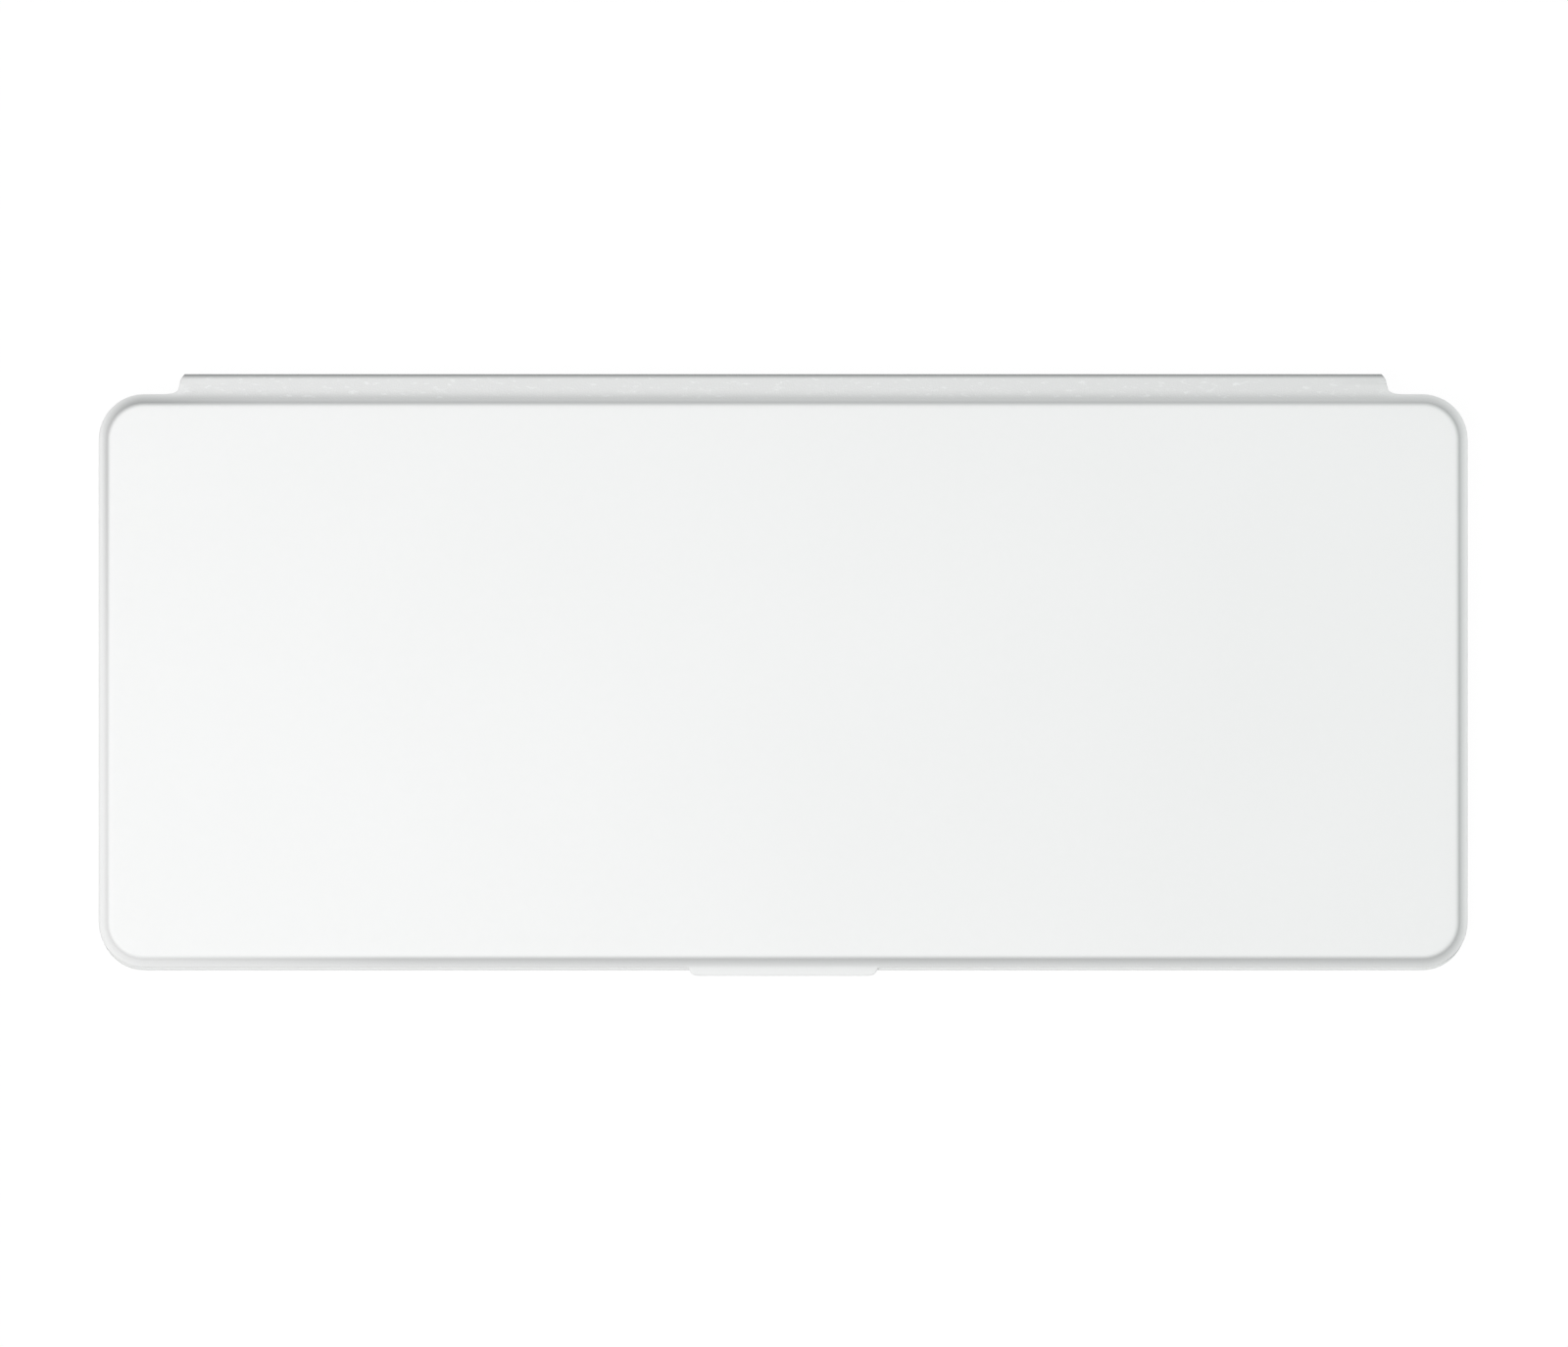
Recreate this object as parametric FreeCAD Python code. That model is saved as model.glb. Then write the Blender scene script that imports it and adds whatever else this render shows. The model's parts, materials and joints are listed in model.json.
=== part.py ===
import FreeCAD, Part
import math
import os

# A slim wireless keyboard with a folding cover, closed, standing on its feet.
#
# It is drawn in the deck frame: X runs to the right, Y towards the hinge and Z square to the keys.
# That frame's origin is midway between the lift lip and the back of the hinge, at the underside
# of the thin front of the case. At the end each piece is turned to stand level on the table,
# because the battery bulge under the back tilts the keys for typing.

# Cover, in plan
cover_width = 250.8
cover_depth = 105.0
cover_corner = 8.3
flange_width = 1.5  # thin edge around the raised panel
panel_edge_round = 0.55
strip_reach = 3.7  # the hinge strip stands this far behind the cover
strip_root_width = 222.6
strip_tip_width = 220.4
strip_root_round = 1.5
strip_tip_round = 0.8
lip_reach = 1.5
lip_root_width = 34.9
lip_tip_width = 31.8
lip_root_round = 0.6
lip_tip_round = 1.5

# Cover, layer by layer from the keys outwards
lining_thickness = 0.3
stiffener_thickness = 0.6
skin_thickness = 0.5
stiffener_clearance = 0.1
closing_gap = 0.1  # between the closed cover and the rim of the deck

# Hinge spine behind the case
spine_stiffener_thickness = 0.4
spine_stiffener_margin = 1.6  # kept clear of each crease
crease_gap = 0.08
anchor_bond = 6.0  # how far the strip is bonded under the case
anchor_clearance = 0.05

# Case, in plan
base_inset = 0.3  # the case lies inside the cover at the sides
base_back_inset = 0.2
base_peek = 0.5  # and shows in front of it
rim_width = 2.9
back_band = 5.4
well_corner = 3.0
web_overlap = 0.6  # the web's edge under the rim
web_side_gap = 0.15

# Case, section
wall_thickness = 1.3
floor_thickness = 0.6
bulge_floor_thickness = 0.8
case_edge_round = 0.8
rim_edge_round = 0.4
parting_height = 1.4
bulge_depth = 31.7  # flat part of the battery bulge, from the back of the case
bulge_slope_run = 5.5
bulge_slope_round = 2.0

# Key mechanism
plate_thickness = 0.25
membrane_thickness = 0.2
web_thickness = 0.6
web_clearance = 0.4  # round each key
key_travel = 1.0
pressed_clearance = 0.1
cap_thickness = 0.8
cap_wall = 0.6
cap_side_wall = 0.7
cap_corner = 2.0
cap_edge_round = 0.25
cap_dish = 0.12
key_below_rim = 0.15
key_gap = 2.2
well_margin = 0.5
function_row_pitch = 11.0
half_key_gap = 1.6
scissor_bar = 0.8
scissor_thickness = 0.4
scissor_inset = 1.25
scissor_widest = 12.2
scissor_side_gap = 0.15
scissor_pin_radius = 0.18
scissor_rest_gap = 0.03
dome_wall = 0.3
dome_widest = 3.0
stabiliser_radius = 0.3
stabiliser_room = 1.5
stabiliser_from_units = 2.0
stabiliser_arm = 4.0
space_scissor_offset = 1.3  # in key pitches from the middle of the space bar

# Coin cells and their bay
cell_radius = 10.0
cell_thickness = 3.2
cell_cap_radius = 8.2
cell_cap_height = 0.4
cell_gap = 1.2
cell_end_clearance = 0.1
contact_room = 0.24
contact_thickness = 0.15
contact_leaf_width = 6.0
bay_clearance = 0.5
bay_wall = 0.8
bay_back_margin = 8.1  # from the back of the case to the bay
door_thickness = bulge_floor_thickness
door_ledge = 1.2
door_screw_margin = 5.0
door_clearance = 0.15
door_corner = 3.0
ledge_thickness = 1.0
door_screw_radius = 0.7
door_screw_head_radius = 1.4
door_screw_length = 2.4
screw_clearance = 0.1

# Circuit board in the bulge
board_thickness = 0.8
board_height = 1.4  # its underside above the bulge's floor
board_gap = 1.6
board_front_gap = 4.0
board_depth = 17.0
board_wing_width = 12.5
post_radius = 1.6
peg_radius = 0.6
light_pipe_radius = 0.6
light_pipe_from_side = 11.0

# Power switch in the right wall
switch_from_back = 16.0
switch_travel = 2.0
knob_length = 5.0
knob_height = 1.2
knob_proud = 0.2
knob_clearance = 0.15
knob_flange = 0.9
knob_flange_thickness = 0.8
switch_body_length = 9.0
switch_body_width = 3.6
switch_body_height = 1.3

# Fasteners, feet and magnets
case_screw_count = 5
case_screw_radius = 0.65
case_screw_head_radius = 1.3
case_screw_head = 0.6
case_boss_radius = 1.7
case_screw_depth = 0.7  # how far it goes up into the deck frame
foot_height = 0.5
foot_length = 62.0
foot_width = 4.0
foot_offset = 74.0  # from the middle to the centre of a foot
front_foot_from_front = 7.2
back_foot_behind_slope = 6.5  # from the front edge of the bulge
magnet_length = 14.0
magnet_width = 1.3
magnet_height = 0.75
magnet_offset = 70.0
magnet_clearance = 0.05
closure_plate_width = 1.8
closure_plate_thickness = 0.5

# Rows of keys from the back to the front: each key's name and width in units
units_across = 14
row_pitches_below = 5
function_row = [(name, 1.0) for name in (
    "escape", "channel_1", "channel_2", "channel_3", "dimmer", "brighter", "search",
    "globe", "previous", "play", "next", "mute", "quieter", "louder")]
number_row = [("grave", 0.75)] + [(digit, 1.0) for digit in "1234567890"] + [
    ("minus", 1.0), ("equals", 1.0), ("backspace", 1.25)]
upper_row = [("tab", 1.25)] + [(letter, 1.0) for letter in "qwertyuiop"] + [
    ("left_bracket", 1.0), ("right_bracket", 1.0), ("backslash", 0.75)]
home_row = [("caps_lock", 1.5)] + [(letter, 1.0) for letter in "asdfghjkl"] + [
    ("semicolon", 1.0), ("quote", 1.0), ("return", 1.5)]
lower_row = [("left_shift", 2.0)] + [(letter, 1.0) for letter in "zxcvbnm"] + [
    ("comma", 1.0), ("full_stop", 1.0), ("slash", 1.0), ("right_shift", 2.0)]
arrow_units = 2.75 / 3
bottom_row = [
    ("fn", 1.0), ("control", 1.0), ("left_alt", 1.0), ("left_command", 1.25), ("space", 4.75),
    ("right_command", 1.25), ("right_alt", 1.0), ("arrow_left", arrow_units),
    ("arrow_up_down", arrow_units), ("arrow_right", arrow_units)]
symbol_keys = (
    "left_bracket", "right_bracket", "backslash", "semicolon", "quote", "comma", "full_stop", "slash")

# Heights in the deck frame, worked out from the layers
plate_top = floor_thickness + plate_thickness
membrane_top = plate_top + membrane_thickness
cap_bottom = membrane_top + pressed_clearance + key_travel
cap_top = cap_bottom + cap_thickness
cap_ceiling = cap_top - cap_wall
web_top = cap_top - key_travel
web_bottom = web_top - web_thickness
rim_top = cap_top + key_below_rim
cover_bottom = rim_top + closing_gap
skin_bottom = cover_bottom + lining_thickness
flange_top = skin_bottom + skin_thickness
panel_top = flange_top + stiffener_thickness
cell_top = floor_thickness - contact_room
cell_bottom = cell_top - cell_thickness
bulge_bottom = cell_bottom - cell_end_clearance - door_thickness
bulge_floor = bulge_bottom + bulge_floor_thickness
strip_thickness = lining_thickness + skin_thickness
anchor_top = bulge_bottom + strip_thickness
anchor_floor = anchor_top + anchor_clearance + bulge_floor_thickness

# Places in plan, worked out from the outline
hinge_back = (cover_depth + strip_reach + lip_reach) / 2
cover_back = hinge_back - strip_reach
cover_front = cover_back - cover_depth
lip_front = cover_front - lip_reach
base_front = cover_front - base_peek
base_back = cover_back - base_back_inset
base_half = cover_width / 2 - base_inset
base_corner = cover_corner - base_inset
inner_half = base_half - wall_thickness
inner_front = base_front + wall_thickness
inner_back = base_back - wall_thickness
well_half = base_half - rim_width
well_front = base_front + rim_width
well_back = base_back - back_band
key_pitch = 2 * (well_half - well_margin) / units_across
field_left = well_margin - well_half
field_front = well_front + well_margin
field_back = well_back - well_margin
row_pitch = (field_back - field_front - function_row_pitch) / row_pitches_below
bulge_front = base_back - bulge_depth
bay_half_x = 2 * cell_radius + cell_gap / 2 + bay_clearance
bay_back = base_back - bay_back_margin
bay_y = bay_back - bay_clearance - cell_radius
bay_half_y = cell_radius + bay_clearance
door_half_x = bay_half_x + door_screw_margin
door_half_y = bay_half_y + door_ledge
door_screw_x = bay_half_x + door_screw_margin / 2
anchor_front = base_back - anchor_bond
board_bottom = bulge_floor + board_height
board_top = board_bottom + board_thickness
board_left = door_half_x + door_ledge + board_gap
board_right = inner_half - board_gap
board_front = bulge_front + board_front_gap
board_back = board_front + board_depth
switch_y = base_back - switch_from_back
switch_z = board_top + switch_body_height / 2
case_screw_y = (well_back + web_overlap + web_side_gap + inner_back) / 2 + web_side_gap
light_pipe_x = base_half - light_pipe_from_side
front_foot_y = base_front + front_foot_from_front
back_foot_y = bulge_front + back_foot_behind_slope

# How it stands: the table touches the middle of the front and the back feet
stand_tilt = math.atan2(-bulge_bottom, back_foot_y - front_foot_y)
stand_rise = (
    foot_height * math.cos(stand_tilt) - bulge_bottom * math.cos(stand_tilt)
    - back_foot_y * math.sin(stand_tilt))
stand_shift = (flange_top + bulge_bottom) / 2 * math.sin(stand_tilt)
table_margin = 20.0

Vector = FreeCAD.Vector
X_AXIS = Vector(1, 0, 0)
Y_AXIS = Vector(0, 1, 0)
Z_AXIS = Vector(0, 0, 1)


def flat(u, v):
    return Vector(u, v, 0)


def side(u, v):
    return Vector(0, u, v)


def outline(corners, place=flat):
    """A closed wire through corners (u, v, radius), each rounded to its radius."""
    points = [place(u, v) for u, v, _ in corners]
    turns = []
    for i, (_, _, radius) in enumerate(corners):
        here = points[i]
        towards_last = (points[i - 1] - here).normalize()
        towards_next = (points[(i + 1) % len(points)] - here).normalize()
        half_angle = towards_last.getAngle(towards_next) / 2
        reach = radius / math.tan(half_angle)
        middle = (towards_last + towards_next).normalize() * (radius / math.sin(half_angle) - radius)
        turns.append((here + towards_last * reach, here + middle, here + towards_next * reach))
    edges = []
    for i, (start, middle, end) in enumerate(turns):
        if corners[i][2]:
            edges.append(Part.Arc(start, middle, end).toShape())
        next_start = turns[(i + 1) % len(turns)][0]
        if (next_start - end).Length > 1e-6:
            edges.append(Part.LineSegment(end, next_start).toShape())
    return Part.Wire(edges)


def rectangle(low_x, high_x, low_y, high_y, radius=0.0):
    return outline([
        (low_x, low_y, radius), (high_x, low_y, radius),
        (high_x, high_y, radius), (low_x, high_y, radius)])


def slab(wire, low, high, holes=()):
    """The area inside wire, less its holes, from height low to height high."""
    face = Part.makeFace([wire, *holes], "Part::FaceMakerBullseye") if holes else Part.Face(wire)
    face.translate(Z_AXIS * low)
    return face.extrude(Z_AXIS * (high - low))


def block(low_x, high_x, low_y, high_y, low, high):
    return slab(rectangle(low_x, high_x, low_y, high_y), low, high)


def across(corners, low_x, high_x):
    """A side profile drawn in Y and Z, drawn out from low_x to high_x."""
    face = Part.Face(outline(corners, side))
    face.translate(X_AXIS * low_x)
    return face.extrude(X_AXIS * (high_x - low_x))


def cylinder(radius, low, high, x=0.0, y=0.0):
    return Part.makeCylinder(radius, high - low, Vector(x, y, low))


def rod(radius, start, end):
    return Part.makeCylinder(radius, (end - start).Length, start, end - start)


def edges_where(shape, wanted):
    return [edge for edge in shape.Edges if wanted(edge.BoundBox)]


def lies_at(value, target):
    return abs(value - target) < 1e-4


def moved(shape, x=0.0, y=0.0, z=0.0):
    copy = shape.copy()
    copy.translate(Vector(x, y, z))
    return copy


def mirrored_pair(shape):
    return [shape, shape.mirror(Vector(0, 0, 0), X_AXIS)]


def base_outline(inset):
    return rectangle(
        inset - base_half, base_half - inset, base_front + inset, base_back - inset, base_corner - inset)


def cover_outline():
    """The soft skin in plan: a rounded sheet with the lift lip in front and the hinge strip behind."""
    right = [
        (lip_tip_width / 2, lip_front, lip_tip_round), (lip_root_width / 2, cover_front, lip_root_round),
        (cover_width / 2, cover_front, cover_corner), (cover_width / 2, cover_back, cover_corner),
        (strip_root_width / 2, cover_back, strip_root_round),
        (strip_tip_width / 2, hinge_back, strip_tip_round)]
    left = [(-x, y, radius) for x, y, radius in reversed(right)]
    return outline(right + left)


def panel_outline(inset):
    return rectangle(
        inset - cover_width / 2, cover_width / 2 - inset, cover_front + inset, cover_back - inset,
        cover_corner - inset)


def crease_wedge():
    """The corner of the strip that belongs to the spine, beyond the mitre at the upper crease."""
    return across([
        (hinge_back, flange_top, 0), (hinge_back - strip_thickness, cover_bottom, 0),
        (hinge_back, cover_bottom, 0)], -cover_width / 2, cover_width / 2)


def closure_plate_spaces(clearance):
    front = cover_front + flange_width + skin_thickness + stiffener_clearance
    return mirrored_pair(block(
        magnet_offset - magnet_length / 2 - clearance, magnet_offset + magnet_length / 2 + clearance,
        front - clearance, front + closure_plate_width + clearance,
        skin_bottom, skin_bottom + closure_plate_thickness + clearance))


def behind_cover():
    """The space behind the crease between the cover and its strip."""
    half = cover_width
    return block(-half, half, cover_back - crease_gap / 2, half, cover_bottom, flange_top)


def make_cover():
    sheet = slab(cover_outline(), skin_bottom, flange_top).cut(behind_cover())
    panel = slab(panel_outline(flange_width), skin_bottom, panel_top)
    panel = panel.makeFillet(panel_edge_round, edges_where(
        panel, lambda box: lies_at(box.ZMin, panel_top)))
    pocket_inset = flange_width + skin_thickness
    pocket = slab(panel_outline(pocket_inset), skin_bottom, skin_bottom + stiffener_thickness)
    skin = sheet.fuse(panel).removeSplitter().cut(pocket)
    stiffener = slab(
        panel_outline(pocket_inset + stiffener_clearance), skin_bottom, skin_bottom + stiffener_thickness)
    stiffener = stiffener.cut(closure_plate_spaces(magnet_clearance))
    lining = slab(cover_outline(), cover_bottom, skin_bottom).cut(behind_cover())
    return {
        "cover_skin": [skin],
        "cover_stiffener": [stiffener],
        "cover_lining": [lining],
        "cover_closure_plates": closure_plate_spaces(0.0)}


def make_hinge():
    inside = hinge_back - strip_thickness
    half = strip_tip_width / 2
    gap_front = cover_back + crease_gap / 2
    reach = slab(cover_outline(), cover_bottom, flange_top).cut([
        crease_wedge(), block(-cover_width, cover_width, lip_front, gap_front, cover_bottom, flange_top)])
    spine = across([
        (hinge_back, bulge_bottom, 0), (hinge_back, flange_top - crease_gap, 0),
        (inside, cover_bottom - crease_gap, 0), (inside, anchor_top, 0)], -half, half)
    stiffener = block(
        spine_stiffener_margin - half, half - spine_stiffener_margin,
        inside - spine_stiffener_thickness, inside,
        bulge_bottom + spine_stiffener_margin, flange_top - spine_stiffener_margin)
    anchor = across([
        (anchor_front, bulge_bottom, 0), (hinge_back - crease_gap, bulge_bottom, 0),
        (inside - crease_gap, anchor_top, 0), (anchor_front, anchor_top, 0)], -half, half)
    return {
        "hinge_top_strip": [reach],
        "hinge_spine": [spine],
        "spine_stiffener": [stiffener],
        "hinge_anchor_strip": [anchor]}


def case_screw_places():
    reach = strip_tip_width / 2 - 2 * case_boss_radius
    return [reach * (2 * i / (case_screw_count - 1) - 1) for i in range(case_screw_count)]


def board_outline():
    """The board in plan: a long strip beside the cells with a wing that reaches the status light."""
    wing_left = board_right - board_wing_width
    wing_back = inner_back - board_gap
    return outline([
        (board_left, board_front, 0), (board_right, board_front, 0),
        (board_right, wing_back, base_corner - wall_thickness - board_gap), (wing_left, wing_back, 0),
        (wing_left, board_back, 0), (board_left, board_back, 0)])


def board_posts():
    """Where the board sits on posts of the case."""
    inset = 2 * post_radius
    near = board_front + inset
    far = board_back - inset
    return [
        (board_left + inset, near), (board_left + inset, far),
        ((board_left + board_right) / 2, near), (board_right - inset, near)]


def switch_slot(clearance):
    half = (knob_length + switch_travel) / 2 + clearance
    return block(
        inner_half - wall_thickness, base_half + wall_thickness, switch_y - half, switch_y + half,
        switch_z - knob_height / 2 - clearance, switch_z + knob_height / 2 + clearance)


def underside_edges(shell):
    """The edges all round, where the underside meets the walls."""
    border = base_outline(0.0)
    found = []
    for edge in shell.Edges:
        box = edge.BoundBox
        upright = box.XLength + box.YLength < 1e-3
        if upright or lies_at(box.ZMin, parting_height):
            continue
        middle = edge.valueAt((edge.FirstParameter + edge.LastParameter) / 2)
        if Part.Vertex(middle.x, middle.y, 0).distToShape(border)[0] < 1e-3:
            found.append(edge)
    return found


def make_bottom_case():
    slope_front = bulge_front - bulge_slope_run
    shell = across([
        (base_front, parting_height, 0), (base_front, 0, 0),
        (slope_front, 0, bulge_slope_round), (bulge_front, bulge_bottom, bulge_slope_round),
        (base_back, bulge_bottom, 0), (base_back, parting_height, 0)], -base_half, base_half)
    shell = shell.common(slab(base_outline(0.0), bulge_bottom, parting_height))
    shell = shell.makeFillet(case_edge_round, underside_edges(shell))
    step = anchor_front - bulge_floor_thickness
    room = across([
        (inner_front, parting_height, 0), (inner_front, floor_thickness, 0),
        (slope_front + floor_thickness, floor_thickness, bulge_slope_round),
        (bulge_front + floor_thickness, bulge_floor, bulge_slope_round),
        (step, bulge_floor, 0), (step, anchor_floor, 0), (inner_back, anchor_floor, 0),
        (inner_back, parting_height, 0)], -inner_half, inner_half)
    room = room.common(slab(base_outline(wall_thickness), bulge_bottom, parting_height))
    case = shell.cut(room)

    bay = rectangle(
        -bay_half_x, bay_half_x, bay_y - bay_half_y, bay_y + bay_half_y, bay_half_y - bay_wall)
    bay_rim = rectangle(
        -bay_half_x - bay_wall, bay_half_x + bay_wall, bay_y - bay_half_y - bay_wall,
        bay_y + bay_half_y + bay_wall, bay_half_y)
    additions = [
        slab(bay_rim, bulge_floor, cell_top - cell_cap_height),
        slab(door_outline(door_ledge), bulge_floor, bulge_floor + ledge_thickness)]
    cuts = [
        slab(bay, bulge_bottom, cell_top),
        slab(door_outline(door_clearance), bulge_bottom, bulge_floor),
        block(
            -strip_tip_width / 2 - anchor_clearance, strip_tip_width / 2 + anchor_clearance,
            anchor_front - anchor_clearance, base_back, bulge_bottom, anchor_top + anchor_clearance),
        switch_slot(knob_clearance)]
    for x in (-door_screw_x, door_screw_x):
        additions.append(cylinder(
            2 * door_screw_radius, bulge_floor, bulge_floor + door_screw_length, x, bay_y))
        cuts.append(cylinder(
            door_screw_radius + screw_clearance, bulge_floor,
            bulge_floor + door_screw_length - screw_clearance, x, bay_y))
    for x in case_screw_places():
        additions.append(cylinder(
            case_boss_radius, anchor_top + anchor_clearance, parting_height, x, case_screw_y))
        cuts.append(cylinder(
            case_screw_radius + screw_clearance, anchor_top, parting_height, x, case_screw_y))
        cuts.append(cylinder(
            case_screw_head_radius + screw_clearance, anchor_top,
            anchor_top + anchor_clearance + case_screw_head + screw_clearance, x, case_screw_y))
    for x, y in board_posts():
        additions.append(cylinder(post_radius, bulge_floor, board_bottom, x, y))
        additions.append(cylinder(peg_radius, bulge_floor, board_top, x, y))
    return {"bottom_case": [case.fuse(additions).removeSplitter().cut(cuts)]}


def door_outline(grow):
    return rectangle(
        -door_half_x - grow, door_half_x + grow, bay_y - door_half_y - grow, bay_y + door_half_y + grow,
        door_corner + grow)


def make_battery_door():
    door = slab(door_outline(0.0), bulge_bottom, bulge_floor)
    screws = []
    for x in (-door_screw_x, door_screw_x):
        sink = door_thickness - screw_clearance
        head = Part.makeCone(
            door_screw_head_radius, door_screw_radius, sink, Vector(x, bay_y, bulge_bottom))
        shank = cylinder(
            door_screw_radius, bulge_bottom + sink, bulge_floor + door_screw_length - 3 * screw_clearance,
            x, bay_y)
        screws.append(head.fuse(shank).removeSplitter())
        door = door.cut(cylinder(door_screw_radius, bulge_bottom, bulge_floor, x, bay_y).fuse(head))
    return {"battery_door": [door], "battery_door_screws": screws}


def make_deck():
    """The rim around the keys, and the web between them."""
    well = rectangle(-well_half, well_half, well_front, well_back, well_corner)
    inner = base_outline(wall_thickness)
    frame = slab(base_outline(0.0), parting_height, rim_top, [well])
    frame = frame.makeFillet(rim_edge_round, edges_where(
        frame, lambda box: lies_at(box.ZMin, rim_top)))
    additions = []
    cuts = [slab(inner, parting_height, web_top)]
    for x in case_screw_places():
        additions.append(cylinder(case_boss_radius, parting_height, web_top, x, case_screw_y))
        cuts.append(cylinder(
            case_screw_radius, parting_height, web_top + case_screw_depth, x, case_screw_y))
    cuts.append(cylinder(
        light_pipe_radius + knob_clearance, parting_height, rim_top, light_pipe_x, case_screw_y))
    cuts += magnet_spaces(magnet_clearance)
    frame = frame.cut(cuts[0]).fuse(additions).removeSplitter().cut(cuts[1:])
    web = slab(
        rectangle(
            -well_half - web_overlap, well_half + web_overlap, well_front - web_overlap,
            well_back + web_overlap, base_corner - rim_width + web_overlap),
        web_bottom, web_top, [key_opening(key) for key in keys])
    return {"deck_frame": [frame], "key_web": [web]}


def magnet_spaces(clearance):
    middle = (inner_front + well_front) / 2
    return mirrored_pair(block(
        magnet_offset - magnet_length / 2 - clearance, magnet_offset + magnet_length / 2 + clearance,
        middle - magnet_width / 2 - clearance, middle + magnet_width / 2 + clearance,
        web_top, web_top + magnet_height + clearance))


def node_of(name, row):
    """The node that holds a key: its own for each letter and the space bar, and a shared one otherwise."""
    if len(name) == 1 and name.isalpha() or name == "space":
        return "key_" + name
    if name in symbol_keys:
        return "symbol_keys"
    if name.startswith("arrow"):
        return "arrow_keys"
    return {0: "function_keys", 1: "number_keys"}.get(row, "modifier_keys")


def lay_out_keys():
    """Each key as its name, node, middle in plan, cap width, cap depth and width in units."""
    laid = []
    back = field_back
    rows = (function_row, number_row, upper_row, home_row, lower_row, bottom_row)
    for row, names in enumerate(rows):
        pitch = function_row_pitch if row == 0 else row_pitch
        middle_y = back - pitch / 2
        depth = pitch - key_gap
        half_depth = (depth - half_key_gap) / 2
        half_step = (half_depth + half_key_gap) / 2
        left = field_left
        for name, units in names:
            x = left + units * key_pitch / 2
            width = units * key_pitch - key_gap
            if name == "arrow_up_down":
                halves = [("arrow_up", half_step), ("arrow_down", -half_step)]
            elif name.startswith("arrow"):
                halves = [(name, -half_step)]
            else:
                halves = []
            for half_name, step in halves:
                laid.append((half_name, "arrow_keys", x, middle_y + step, width, half_depth, units))
            if not halves:
                laid.append((name, node_of(name, row), x, middle_y, width, depth, units))
            left += units * key_pitch
        back -= pitch
    return laid


keys = lay_out_keys()


def key_opening(key):
    _, _, x, y, width, depth, _ = key
    half_x = width / 2 + web_clearance
    half_y = depth / 2 + web_clearance
    return rectangle(x - half_x, x + half_x, y - half_y, y + half_y, cap_corner + web_clearance)


def make_cap(width, depth, dished):
    """A keycap about its own middle: a low shell with rounded edges, dished where a finger rests."""
    body = slab(
        rectangle(-width / 2, width / 2, -depth / 2, depth / 2, cap_corner), cap_bottom, cap_top)
    if dished:
        flat_half = width / 2 - cap_edge_round
        radius = (flat_half ** 2 + cap_dish ** 2) / (2 * cap_dish)
        scoop = Part.makeCylinder(
            radius, 2 * depth, Vector(0, -depth, cap_top - cap_dish + radius), Y_AXIS)
        body = body.cut(scoop)
    rounded = edges_where(body, lambda box: box.ZMin > cap_top - 1.5 * cap_dish)
    body = body.makeFillet(cap_edge_round, rounded)
    hollow_x = width / 2 - cap_side_wall
    hollow_y = depth / 2 - cap_side_wall
    hollow = slab(
        rectangle(-hollow_x, hollow_x, -hollow_y, hollow_y, cap_corner - cap_side_wall),
        cap_bottom, cap_ceiling)
    return body.cut(hollow)


def scissor_depth(key):
    _, _, _, _, _, depth, units = key
    inset = scissor_inset + (stabiliser_room if units >= stabiliser_from_units else 0.0)
    return depth - 2 * inset


def make_scissor(width, depth):
    """The two crossed frames of one scissor about the key's middle, and their height's middle."""
    low = membrane_top + scissor_rest_gap
    high = cap_ceiling - scissor_rest_gap
    lean = math.degrees(math.asin((high - low - scissor_thickness) / depth))
    frames = []
    for half_x, direction in (
            (width / 2, 1), (width / 2 - scissor_bar - scissor_side_gap, -1)):
        ring = slab(
            rectangle(-half_x, half_x, -depth / 2, depth / 2), -scissor_thickness / 2,
            scissor_thickness / 2,
            [rectangle(
                scissor_bar - half_x, half_x - scissor_bar, scissor_bar - depth / 2,
                depth / 2 - scissor_bar)])
        if direction < 0:
            pins = [rod(
                scissor_pin_radius, Vector(sign * (half_x - scissor_bar / 2), 0, 0),
                Vector(sign * (half_x + scissor_side_gap), 0, 0)) for sign in (-1, 1)]
            ring = ring.fuse(pins).removeSplitter()
        ring.rotate(Vector(0, 0, 0), X_AXIS, direction * lean)
        ring.translate(Z_AXIS * ((low + high) / 2))
        frames.append(ring)
    return frames


def make_dome(radius):
    """A collapsible rubber dome about the key's middle, closed at the top."""
    height = cap_ceiling - scissor_rest_gap - membrane_top
    top_radius = 0.55 * radius
    profile = Part.makePolygon([Vector(r, 0, membrane_top + z) for r, z in (
        (0, height), (top_radius, height), (radius, 0), (radius - dome_wall, 0),
        (top_radius - dome_wall, height - dome_wall), (0, height - dome_wall), (0, height))])
    return Part.Face(profile).revolve(Vector(0, 0, 0), Z_AXIS, 360)


def make_stabiliser(width, depth):
    """The wire that keeps a wide key level, about the key's middle."""
    end_x = width / 2 - cap_side_wall - 3 * stabiliser_radius
    bar_y = depth / 2 - cap_side_wall - 2 * stabiliser_radius
    high = cap_ceiling - scissor_rest_gap - stabiliser_radius
    low = membrane_top + scissor_rest_gap + stabiliser_radius
    corners = [Vector(sign * end_x, bar_y, high) for sign in (-1, 1)]
    tips = [Vector(sign * end_x, bar_y - stabiliser_arm, low) for sign in (-1, 1)]
    wire = rod(stabiliser_radius, *corners)
    pieces = [rod(stabiliser_radius, corner, tip) for corner, tip in zip(corners, tips)]
    pieces += [Part.makeSphere(stabiliser_radius, corner) for corner in corners]
    return wire.fuse(pieces).removeSplitter()


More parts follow.
